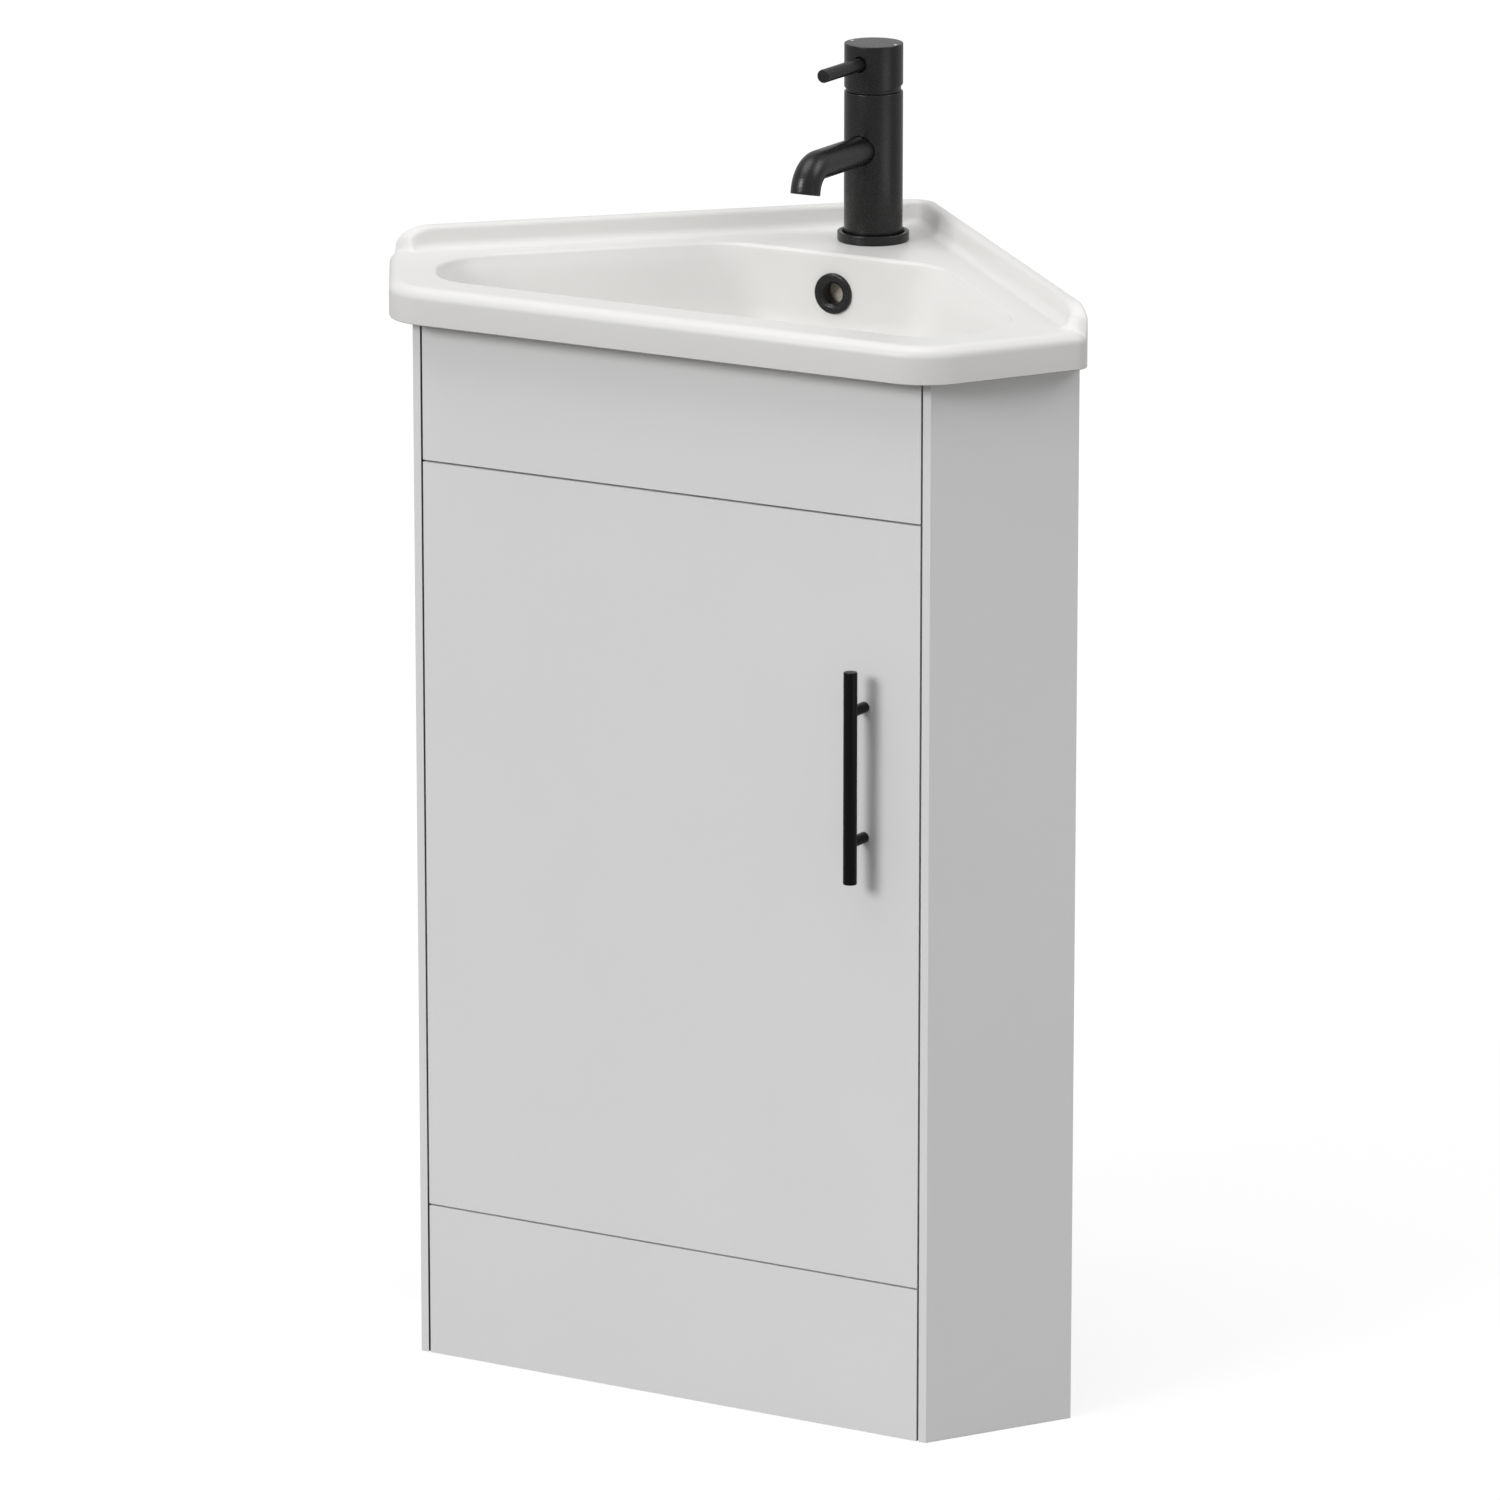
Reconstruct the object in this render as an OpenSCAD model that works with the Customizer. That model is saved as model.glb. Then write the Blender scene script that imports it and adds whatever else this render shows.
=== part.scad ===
// Corner vanity unit: a cabinet with flared sides and one door, a corner basin and a lever tap.
// Origin: middle of the floor under the unit. +X right seen from the front, +Y to the wall corner, +Z up.

/* [Cabinet] */
// Width of the front face
front_w = 429.6; // [420:0.1:440]
// Angle that the sides flare outward, from straight back
flare = 31.8; // [30:0.1:32]
// Sum of |X| and Y on the back faces, which lie on two walls at 90 degrees
back_sum = 381.2; // [378:0.1:382]
// Height of the cabinet, up to the rim of the basin
cab_h = 786; // [780:1:790]
// Thickness of the finished end panels
end_t = 5.4; // [5:0.1:6]
// Thickness of the carcass boards
gable_t = 15; // [15:1:16]
// Thickness of the fascia and the plinth board
front_t = 18; // [17:1:18]
// Gap round the door and between the front boards
gap = 1.5; // [1.4:0.1:2.4]

/* [Door] */
// Height of the door's lower edge
door_z0 = 116; // [110:1:120]
// Height of the door's upper edge
door_z1 = 680; // [676:1:684]
// Thickness of the door
door_t = 16; // [16:1:16]
// Distance of each hinge from the door's end
hinge_inset = 100; // [90:1:120]

/* [Handle] */
// Distance of the bar from the middle of the front
handle_x = 162; // [155:1:168]
// Height of the bar's middle
handle_z = 495; // [480:1:510]
// Length of the bar
handle_l = 156; // [150:1:160]
// Distance between the two posts
handle_centres = 96; // [96:32:128]
// Distance of the bar's axis from the door
handle_out = 20.5; // [18:0.5:24]
// Radius of the bar
handle_r = 5; // [4:0.5:6]

/* [Basin] */
// Sum of |X| and Y on the basin's wall edges
wall_sum = 385.4; // [383:0.1:387]
// Overhang of the rim past the front
rim_front = 21; // [18:1:24]
// Overhang of the rim past the sides
rim_side = 17; // [15:1:19]
// Height of the deck
deck_z = 813; // [811:1:815]
// Height of the raised edge on the walls
upstand_z = 830; // [826:1:832]
// Depth of the bowl under the deck
bowl_depth = 110; // [105:1:115]
// Distance of the waste from the front
waste_y = 126; // [122:1:130]
// Distance of the tap's axis from the front
tap_y = 299; // [297:1:301]
// Thickness of the bowl's wall
bowl_wall = 10; // [9:1:11]

/* [Tap] */
// Radius of the tap's body
tap_r = 21.75; // [21:0.25:22]
// Height of the body's top
tap_top_z = 925; // [922:1:926]
// Height of the cap's top
cap_top_z = 960.7; // [958:0.1:962]
// Height of the spout's axis
spout_z = 883; // [880:1:886]
// Outer radius of the spout
spout_r = 11; // [10.5:0.5:11.5]
// Height of the lever's axis
lever_z = 947.5; // [945:0.5:950]

/* [Hidden] */
$fn = 48;
// The part's origin is in the middle of its depth, and lengths along Y below are from the front face.
back_corner_r = 20;
back_most_y = max(wall_sum - back_corner_r * (sqrt(2) - 1), back_sum);
front_most_y = -handle_out - handle_r;
mid_y = (back_most_y + front_most_y) / 2;

half_w = front_w / 2;
flare_slope = tan(flare);
// Half widths on the front plane of the lines that bound the end panel and the gable
end_inner_x = half_w - end_t / cos(flare);
gable_inner_x = end_inner_x - gable_t / cos(flare);
door_x = end_inner_x - gap;
gable_y0 = 27;

base_z0 = 108;
base_t = 18;
pipe_cut_y = 300;
rail_z0 = 660;
rail_z1 = 740;
rail_t = 18;
back_rail_t = 16;
back_rail_h = 80;
low_rail_h = 60;
post_w = 32;
plinth_top_z = door_z0 - gap;
fascia_z0 = door_z1 + gap;

// Hinge: the pin is in the cup, and the arm wraps round the door's edge
pin_in = 14.25;
pin_x = -door_x + pin_in;
pin_y = 11;
pin_r = 1.5;
pin_fit = 0.04;
cup_r = 17.5;
cup_x = -door_x + 22.5;
cup_depth = 10.5;
cup_pocket_y = 7;
cup_pocket_w = 31;
pocket_half_h = 9;
arm_half_h = 8;
arm_t = 4;
arm_out = 10.5;
hinge_z = [door_z0 + hinge_inset, door_z1 - hinge_inset];
plate_along = 62;
// The inner boards are cut back at their front corners, where the door's edge swings in.
notch_x = -pin_x - 8;

// Bowl, tap and waste
overflow_z = 783;
overflow_y = 240;
overflow_hole_r = 11;
tap_hole_r = 17.5;
waste_hole_r = 23;
floor_z = deck_z - bowl_depth;
floor_under_z = floor_z - 14;
deck_under_z = deck_z - 16;
waste_tail_r = 20.95;
waste_bore_r = 17.5;
waste_tail_z = 606;
nut_z = floor_under_z - 19;
// A neck parts the trap's thread from the back nut's.
neck_z0 = nut_z - 8;
neck_z1 = nut_z - 2;
neck_r = 20.2;

white = [0.93, 0.93, 0.91];
grey = [0.80, 0.80, 0.80];
board = [0.78, 0.77, 0.75];
satin_black = [0.13, 0.13, 0.13];
steel = [0.72, 0.73, 0.75];
zinc = [0.60, 0.61, 0.63];
rubber_black = [0.10, 0.10, 0.10];
clear_plastic = [0.85, 0.86, 0.86];

// ---- Shared shapes ----

// Puts what is measured from the front face into the part's frame.
module placed() {
    translate([0, -mid_y, 0])
        children();
}

// Extrudes a plan outline between two heights.
module board_from(points, z0, z1) {
    translate([0, 0, z0])
        linear_extrude(z1 - z0)
            polygon(points);
}

// Local frame on the inner face of a gable: x into the cabinet, y back along the face, z up.
// side is -1 for the left gable and 1 for the right one.
module on_gable(side, z) {
    mirror([side > 0 ? 1 : 0, 0, 0])
        translate([-gable_inner_x, 0, z])
            rotate([0, 0, flare])
                children();
}

// A cylinder along Y that starts at y0 and runs back by l.
module rod_y(x, y0, z, r, l) {
    translate([x, y0, z])
        rotate([-90, 0, 0])
            cylinder(r = r, h = l);
}

// A cylinder on the tap's axis.
module tap_cyl(r, z0, z1) {
    translate([0, tap_y, z0])
        cylinder(r = r, h = z1 - z0);
}

// A cylinder on the waste's axis.
module waste_cyl(r, z0, z1) {
    translate([0, waste_y, z0])
        cylinder(r = r, h = z1 - z0);
}

// A countersunk or pan head screw along +Y from a face at y = 0, with a cross-slot in its head.
module screw_y(head_r, head_h, shank_r, l) {
    crown = [[head_r, head_h * 0.45], [head_r * 0.62, head_h]];
    difference() {
        union() {
            rotate([90, 0, 0])
                rotate_extrude()
                    polygon(concat([[0, 0], [head_r, 0]], crown, [[0, head_h]]));
            rotate([-90, 0, 0])
                cylinder(r = shank_r, h = l);
        }
        for (a = [0, 90])
            rotate([0, a, 0])
                translate([-head_r * 0.5, -head_h - 1, -0.4])
                    cube([head_r, head_h * 0.7 + 1, 0.8]);
    }
}

// ---- Cabinet boards ----

// X of a flared line at depth y, given its place on the front plane.
function flared_x(x0, y) = x0 + flare_slope * y;

// Depth at which a flared line meets the back line of the given sum.
function flared_back_y(x0, sum) = (sum - x0) / (1 + flare_slope);

function flared_back(x0, sum) = [sum - flared_back_y(x0, sum), flared_back_y(x0, sum)];

function mirrored(points) = [for (i = [len(points) - 1:-1:0]) [-points[i][0], points[i][1]]];

function on_side(points, side) = side > 0 ? points : mirrored(points);

module end_panel(side) {
    outline = [
        [end_inner_x, 0],
        [half_w, 0],
        flared_back(half_w, back_sum),
        flared_back(end_inner_x, back_sum)
    ];
    color(grey)
        placed()
            board_from(on_side(outline, side), 0, cab_h);
}

module gable(side) {
    outline = [
        [flared_x(gable_inner_x, gable_y0), gable_y0],
        [flared_x(end_inner_x, gable_y0), gable_y0],
        flared_back(end_inner_x, back_sum),
        flared_back(gable_inner_x, back_sum)
    ];
    color(board)
        placed()
            difference() {
                board_from(on_side(outline, side), 0, cab_h);
                if (side < 0)
                    plate_screw_shanks();
            }
}

function gable_face(y) = [flared_x(gable_inner_x, y), y];

// Front corner of an inner board, cut back for the door's edge.
notched_corner = [[notch_x, front_t], [notch_x, gable_y0], gable_face(gable_y0)];

// Cross board between the gables, with ends that follow their faces after the given front corner.
module cross_board(corner, t, z0, z1) {
    right = concat(corner, [gable_face(front_t + t)]);
    board_from(concat(right, mirrored(right)), z0, z1);
}

module base_panel() {
    pipe_cut = [back_sum - pipe_cut_y, pipe_cut_y];
    right = concat(notched_corner, [flared_back(gable_inner_x, back_sum), pipe_cut]);
    color(board)
        placed()
            board_from(concat(right, mirrored(right)), base_z0, base_z0 + base_t);
}

module front_board(z0, z1) {
    color(grey)
        placed()
            translate([-door_x, 0, z0])
                cube([2 * door_x, front_t, z1 - z0]);
}

module plinth_rail() {
    color(board)
        placed()
            cross_board([gable_face(front_t)], gable_t, 20, base_z0 - 12);
}

module front_rail() {
    color(board)
        placed()
            difference() {
                cross_board(notched_corner, rail_t, rail_z0, rail_z1);
                front_rail_cams();
            }
}

// Square post in the wall corner, set on its edge.
module corner_post() {
    color(board)
        placed()
            translate([0, back_sum, 0])
                rotate([0, 0, -135])
                    cube([post_w, post_w, cab_h]);
}

// Rail along one wall, from the gable to the corner post.
module back_rail(side, z0, h) {
    inner_sum = back_sum - back_rail_t * sqrt(2);
    post_out = post_w / sqrt(2);
    post_in = (post_w - back_rail_t) / sqrt(2);
    outline = [
        flared_back(gable_inner_x, inner_sum),
        flared_back(gable_inner_x, back_sum),
        [post_out, back_sum - post_out],
        [post_in, inner_sum - post_in]
    ];
    color(board)
        placed()
            difference() {
                board_from(on_side(outline, side), z0, z0 + h);
                children();
            }
}

// Local frame on the inner face of a back rail: x along the rail, y into the cabinet.
module on_back_rail(side, along, z) {
    inner_sum = back_sum - back_rail_t * sqrt(2);
    mirror([side > 0 ? 0 : 1, 0, 0])
        translate([0, inner_sum, z])
            rotate([0, 0, 135])
                translate([-along, 0, 0])
                    children();
}

top_rail_z0 = cab_h - back_rail_h;
fixing_along = [110, 250];
fixing_z = top_rail_z0 + 52;

// Holes for the two wall screws, through the rail.
module wall_fixing_holes(side) {
    for (along = fixing_along)
        on_back_rail(side, along, fixing_z)
            translate([0, 1, 0])
                rotate([90, 0, 0])
                    cylinder(r = 3, h = back_rail_t + 2);
}

module top_rail(side) {
    back_rail(side, top_rail_z0, back_rail_h) {
        wall_fixing_holes(side);
        back_rail_cams(side);
    }
}

module low_rail(side) {
    back_rail(side, base_z0 + base_t, low_rail_h);
}

// ---- Fittings of the carcass ----

cam_r = 7.5;
cam_depth = 11;
cam_z = top_rail_z0 + 22;
cam_along = [62, 318];
front_cam_x = notch_x - 10;
front_cam_z = [rail_z0 + 20, rail_z1 - 20];

// Pockets of the cam locks in a back rail.
module back_rail_cams(side) {
    for (along = cam_along)
        on_back_rail(side, along, cam_z)
            rotate([90, 0, 0])
                cylinder(r = cam_r, h = cam_depth);
}

module front_rail_cams() {
    for (x = [-front_cam_x, front_cam_x], z = front_cam_z)
        rod_y(x, front_t + rail_t - cam_depth, z, cam_r, cam_depth + 1);
}

// One cam: a disc that fills its pocket, with a cross recess.
module cam_disc() {
    difference() {
        cylinder(r = cam_r, h = cam_depth);
        for (a = [0, 90])
            rotate([0, 0, a])
                translate([-4, -0.8, -1])
                    cube([8, 1.6, 4]);
    }
}

module cam_locks() {
    color(zinc)
        placed() {
            for (side = [-1, 1], along = cam_along)
                on_back_rail(side, along, cam_z)
                    rotate([90, 0, 0])
                        cam_disc();
            for (x = [-front_cam_x, front_cam_x], z = front_cam_z)
                translate([x, front_t + rail_t, z])
                    rotate([90, 0, 0])
                        cam_disc();
        }
}

block_w = 28;
block_x = 150;

// Plastic block in the angle of the rail and the fascia, with a sloped face and two screw wells.
module corner_block() {
    difference() {
        rotate([90, 0, 90])
            linear_extrude(block_w)
                polygon([[0, 0], [20, 0], [20, 6], [6, 20], [0, 20]]);
        for (x = [8, 20])
            translate([x, 13, -1])
                cylinder(r = 2.5, h = 4);
    }
}

module corner_blocks() {
    color(clear_plastic)
        placed()
            for (x = [-block_x, block_x - block_w])
                translate([x, front_t, rail_z1])
                    corner_block();
}

// ---- Basin ----

// Each outline has points on its front corner, on its side corner and at its back, on either half.
// The rim's side corner is its tip: points at shares of the tip's turn, then some along the wall.
front_shares = [for (i = [0:7]) i / 7];
tip_shares = [0, 0.2, 0.4, 0.52, 0.62, 0.72, 0.82, 0.91, 1];
wall_steps = [1.5, 3.5, 6, 9, 13, 18];
rim_back_shares = [for (i = [0:5]) i / 11];
bowl_side_shares = [for (i = [0:14]) i / 14];
bowl_back_shares = [for (i = [0:5]) i / 5];
front_corner_r = 47;
tip_r = 13;

// Intersection of two lines given as [normal x, normal y, distance].
function meet(a, b) =
    let (det = a[0] * b[1] - a[1] * b[0])
    [(a[2] * b[1] - a[1] * b[2]) / det, (a[0] * b[2] - a[2] * b[0]) / det];

// Arc that rounds the corner of lines a and b, which turn anticlockwise, at shares of its turn.
function corner_arc(a, b, r, shares) =
    let (
        p = meet([a[0], a[1], a[2] - r], [b[0], b[1], b[2] - r]),
        a0 = atan2(a[1], a[0]),
        turn = (atan2(b[1], b[0]) - a0 + 720) % 360
    )
    [for (t = shares) p + r * [cos(a0 + turn * t), sin(a0 + turn * t)]];

side_n = [cos(flare), -sin(flare)];
wall_n = [sqrt(0.5), sqrt(0.5)];
wall_along = [-sqrt(0.5), sqrt(0.5)];
rim_side_dist = half_w * cos(flare) + rim_side;
wall_dist = wall_sum * sqrt(0.5);

// Outline of the rim moved inward by d.
function rim_ring(d) =
    let (
        front = [0, -1, rim_front - d],
        side = [side_n[0], side_n[1], rim_side_dist - d],
        wall = [wall_n[0], wall_n[1], wall_dist - d],
        other_wall = [-wall_n[0], wall_n[1], wall_dist - d],
        tip = corner_arc(side, wall, tip_r, tip_shares),
        tip_end = tip[len(tip) - 1],
        right = concat(
            corner_arc(front, side, max(front_corner_r - d, 20), front_shares),
            tip,
            [for (l = wall_steps) tip_end + l * wall_along],
            corner_arc(wall, other_wall, max(back_corner_r - d, 10), rim_back_shares)
        )
    )
    concat(right, mirrored(right));

// Outline of the bowl: front line, side line, diagonal line, back line, and the corner radii.
function bowl_ring(front_y, side_x, diag_sum, back_y, r) =
    let (
        front = [0, -1, -front_y],
        side = [side_n[0], side_n[1], side_x * cos(flare)],
        diagonal = [wall_n[0], wall_n[1], diag_sum * sqrt(0.5)],
        back = [0, 1, back_y],
        right = concat(
            corner_arc(front, side, r[0], front_shares),
            corner_arc(side, diagonal, r[1], bowl_side_shares),
            corner_arc(diagonal, back, r[2], bowl_back_shares)
        )
    )
    concat(right, mirrored(right));

function smooth(t) = t * t * (3 - 2 * t);

function backward(list) = [for (i = [len(list) - 1:-1:0]) list[i]];

// The raised wall edge starts on the tip's arc and rises like a quarter of an ellipse.
rise_start = 0.45;
rise_l = 26;
rise_blend_l = 4;
tip_l = tip_r * (flare + 45) * PI / 180;

function rise(l) = sqrt(1 - pow(1 - min(l / rise_l, 1), 2)) * smooth(min(l / rise_blend_l, 1));

// How far each outline point belongs to the raised wall edge: 0 on the front and sides, 1 on the walls.
right_share = concat(
    [for (t = front_shares) 0],
    [for (t = tip_shares) rise(max(t - rise_start, 0) * tip_l)],
    [for (l = wall_steps) rise((1 - rise_start) * tip_l + l)],
    [for (t = rim_back_shares) 1]
);
upstand_share = concat(right_share, backward(right_share));

function mix(a, b, t) = a * (1 - t) + b * t;

// Section of the rim on the front and sides, and on the walls: [distance inward, height].
front_section = [
    [0, cab_h + 3], [0, deck_z - 8], [0.6, deck_z - 4.8], [2.3, deck_z - 2.3], [4.9, deck_z - 0.6],
    [8, deck_z], [11, deck_z], [13, deck_z], [15, deck_z], [19, deck_z]
];
wall_section = [
    [0, cab_h + 3], [0, upstand_z - 3], [0.4, upstand_z - 1.5], [1.5, upstand_z - 0.4], [3, upstand_z],
    [7.6, upstand_z - 0.4], [9.8, upstand_z - 2.4], [11.3, upstand_z - 7], [12.8, deck_z + 3.4],
    [17, deck_z]
];

rim_rings = [
    for (k = [0:len(front_section) - 1])
        let (
            ring_f = rim_ring(front_section[k][0]),
            ring_w = rim_ring(wall_section[k][0])
        )
        [
            for (i = [0:len(ring_f) - 1])
                let (
                    u = upstand_share[i],
                    p = mix(ring_f[i], ring_w[i], u)
                )
                [p[0], p[1], mix(front_section[k][1], wall_section[k][1], u)]
        ]
];

// The bowl, from the deck down: [height, front, side, diagonal, back, corner radii].
bowl_levels = [
    [deck_z, 12, 196.2, 333, 243.4, [48, 60, 60]],
    [deck_z - 0.6, 13.8, 194.1, 330.5, 241.6, [47, 59, 59]],
    [deck_z - 2.2, 15.2, 192.4, 328.5, 240.3, [46, 58, 58]],
    [deck_z - 5, 16.8, 190.4, 326.8, 240, [45, 57, 57]],
    [deck_z - 11, 21.4, 185.4, 323.2, 240, [44, 55, 54]],
    [deck_z - 24, 31, 174, 317.5, 240, [44, 52, 49]],
    [deck_z - 46, 45, 153, 309, 240, [40, 46, 43]],
    [deck_z - 70, 58, 119, 295, 234, [43, 43, 38]],
    [deck_z - 92, 68, 84, 276, 222, [45, 38, 36]],
    [deck_z - 105, 77, 59, 256, 206, [42, 34, 34]],
    [floor_z, 86, 39, 238, 190, [36, 28, 30]]
];
floor_level = len(bowl_levels) - 1;
// How far the underside lies below the bowl's lowest levels, from the floor up.
under_drops = [14, 14, 9, 5, 5];
shoulder_level = floor_level - len(under_drops);

function level_ring(v, out, drop) =
    [
        for (p = bowl_ring(v[1] - out, v[2] + out / cos(flare), v[3] + out * sqrt(2), v[4] + out,
            v[5] + [out, out, out]))
            [p[0], p[1], v[0] - drop]
    ];

bowl_rings = [for (v = bowl_levels) level_ring(v, 0, 0)];

// The underside, from the bowl's bottom up to the rim: the bowl's own levels set outward.
under_bowl_rings = [
    for (k = [0:len(under_drops) - 1])
        level_ring(bowl_levels[floor_level - k], bowl_wall, under_drops[k])
];

// The flat under the rim, which is recessed along the walls behind a seat on the cabinet.
seat_w = 20;
under_rim_z = [for (u = upstand_share) mix(cab_h, deck_under_z, u)];
shoulder_ring = let (ring = level_ring(bowl_levels[shoulder_level], bowl_wall, 0))
    [for (i = [0:len(ring) - 1]) [ring[i][0], ring[i][1], under_rim_z[i]]];
recess_ring = let (ring = rim_ring(seat_w + 3))
    [for (i = [0:len(ring) - 1]) [ring[i][0], ring[i][1], under_rim_z[i]]];
seat_ring = [for (p = rim_ring(seat_w)) [p[0], p[1], cab_h]];
foot_ring = [for (p = rim_ring(1.5)) [p[0], p[1], cab_h]];

basin_rings = concat(
    under_bowl_rings,
    [shoulder_ring, recess_ring, seat_ring, foot_ring],
    rim_rings,
    bowl_rings
);

// Closes a stack of rings, each with the same number of points, into a solid of triangles.
module ring_solid(rings) {
    n = len(rings[0]);
    last = len(rings) - 1;
    middle = [for (r = [rings[0], rings[last]]) let (s = [for (p = r) 1] * r) s / n];
    points = concat([for (r = rings) each r], middle);
    walls = [
        for (k = [0:last - 1], i = [0:n - 1])
            let (
                j = (i + 1) % n,
                a = k * n + i,
                b = k * n + j,
                c = (k + 1) * n + j,
                d = (k + 1) * n + i
            )
            each [[a, c, b], [a, d, c]]
    ];
    first_cap = [for (i = [0:n - 1]) [len(points) - 2, i, (i + 1) % n]];
    last_cap = [for (i = [0:n - 1]) [len(points) - 1, last * n + (i + 1) % n, last * n + i]];
    polyhedron(points = points, faces = concat(walls, first_cap, last_cap));
}

// Housing behind the bowl that the overflow opens into.
module overflow_housing() {
    translate([0, overflow_y + 5, floor_z + 34])
        linear_extrude(deck_under_z - floor_z - 33)
            polygon([[-24, 0], [24, 0], [17, 17], [-17, 17]]);
}

module basin() {
    color(white)
        placed()
            difference() {
                union() {
                    ring_solid(basin_rings);
                    overflow_housing();
                    waste_cyl(38, floor_under_z - 4, floor_under_z + 4);
                }
                tap_cyl(tap_hole_r, deck_under_z - 12, deck_z + 1);
                waste_cyl(waste_hole_r, floor_under_z - 5, floor_z + 1);
                waste_cyl(33, floor_z - 2.5, floor_z + 1);
                rod_y(0, overflow_y - 5, overflow_z, overflow_hole_r, 16);
            }
}

// Ring in the overflow's mouth, with a rounded face and a sleeve.
module overflow_ring() {
    color(satin_black)
        placed()
            translate([0, overflow_y, overflow_z])
                rotate([90, 0, 0])
                    rotate_extrude()
                        polygon([
                            [8, -9], [10.9, -9], [10.9, 0], [15.25, 0], [15.25, 1.2], [14.6, 2.2],
                            [13.2, 2.8], [9.6, 2.8], [8.5, 2.3], [8, 1.4]
                        ]);
}

// ---- Waste ----

waste_flange_r = 32.5;

module waste_body() {
    flange_t = 2.5;
    flange_z = floor_z - flange_t;
    flange_edge = [[waste_flange_r, 0], [waste_flange_r, 1.6], [waste_flange_r - 2, flange_t]];
    color(satin_black)
        placed()
            difference() {
                union() {
                    translate([0, waste_y, flange_z])
                        rotate_extrude()
                            polygon(concat([[0, 0]], flange_edge, [[0, flange_t]]));
                    waste_cyl(waste_tail_r, waste_tail_z, neck_z0);
                    waste_cyl(neck_r, neck_z0 - 1, neck_z1 + 1);
                    waste_cyl(waste_tail_r, neck_z1, flange_z + 1);
                }
                waste_cyl(waste_bore_r, waste_tail_z - 1, floor_z + 1);
                waste_cyl(waste_hole_r, floor_z - 1.2, floor_z + 1);
                for (a = [0, 90])
                    translate([0, waste_y, floor_z - 11])
                        rotate([0, 0, a + 45])
                            translate([-waste_tail_r - 1, -4, -3])
                                cube([2 * waste_tail_r + 2, 8, 8]);
            }
}

module waste_tube(r, z0, z1, bore) {
    difference() {
        waste_cyl(r, z0, z1);
        waste_cyl(bore, z0 - 1, z1 + 1);
    }
}

module waste_seal() {
    color(rubber_black)
        placed()
            waste_tube(34, floor_under_z - 8, floor_under_z - 4, waste_tail_r);
}

module waste_washer() {
    color(clear_plastic)
        placed()
            waste_tube(32, floor_under_z - 10, floor_under_z - 8, waste_tail_r);
}

// Back nut with eight grips on its rim.
module waste_nut() {
    color(satin_black)
        placed()
            difference() {
                waste_cyl(31, nut_z, floor_under_z - 10);
                waste_cyl(waste_tail_r, nut_z - 1, floor_under_z);
                for (i = [0:7])
                    translate([0, waste_y, 0])
                        rotate([0, 0, i * 45])
                            translate([33, 0, nut_z - 1])
                                cylinder(r = 5.5, h = 12);
            }
}

// Click cartridge: a hub on three arms, held inside the waste's bore.
module waste_cartridge() {
    color(clear_plastic)
        placed()
            difference() {
                union() {
                    waste_cyl(6, floor_z - 38, floor_z - 16);
                    intersection() {
                        waste_cyl(waste_bore_r, floor_z - 30, floor_z - 24);
                        for (i = [0:2])
                            translate([0, waste_y, floor_z - 31])
                                rotate([0, 0, 30 + i * 120])
                                    translate([0, -1.5, 0])
                                        cube([waste_bore_r + 2, 3, 8]);
                    }
                }
                waste_cyl(3.2, floor_z - 34, floor_z - 15);
            }
}

// Plug: a shallow dome on a stem that runs in the cartridge.
module waste_plug() {
    color(satin_black)
        placed()
            translate([0, waste_y, floor_z])
                rotate_extrude()
                    polygon([
                        [0, -32], [3.15, -32], [3.15, -4], [14, -2.2], [17.6, 0.1], [30.2, 0.1],
                        [30.5, 0.6], [30.5, 1.6], [27, 3.6], [18, 5.2], [0, 6.2]
                    ]);
}

module plug_seal() {
    color(rubber_black)
        placed()
            translate([0, waste_y, floor_z])
                rotate_extrude()
                    polygon([[17.8, -1.1], [22, -1.1], [22, 0.1], [17.8, 0.1]]);
}

// ---- Tap ----

// The body's foot is hollow, and the stud and the two inlets are in the roof of the hollow.
tap_foot_z = deck_z + 0.8;
tap_flange_r = 26.65;
foot_bore_r = 18;
inlet_z = deck_z + 18;
inlet_x = [-11, 11];
inlet_dy = -4;
inlet_r = 4.5;
inlet_l = 14;
stud_r = 4;
stud_z0 = 740;
stud_fit = 0.04;

// The cartridge's pocket is over the passage to the spout.
passage_r = 8.6;
cartridge_r = 17.5;
cartridge_z0 = spout_z + 12;
shoulder_z = tap_top_z - 13;
neck_bore_r = 6.4;

module tap_seal() {
    color(rubber_black)
        placed()
            difference() {
                tap_cyl(tap_flange_r - 0.65, deck_z, tap_foot_z);
                tap_cyl(foot_bore_r, deck_z - 1, tap_foot_z + 1);
            }
}

module tap_flange() {
    color(satin_black)
        placed()
            translate([0, tap_y, tap_foot_z])
                rotate_extrude()
                    polygon([
                        [tap_r, 0], [tap_flange_r, 0], [tap_flange_r, 5.6],
                        [tap_flange_r - 0.65, 6.2], [tap_r + 1.25, 6.2], [tap_r, 5.6]
                    ]);
}

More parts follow.
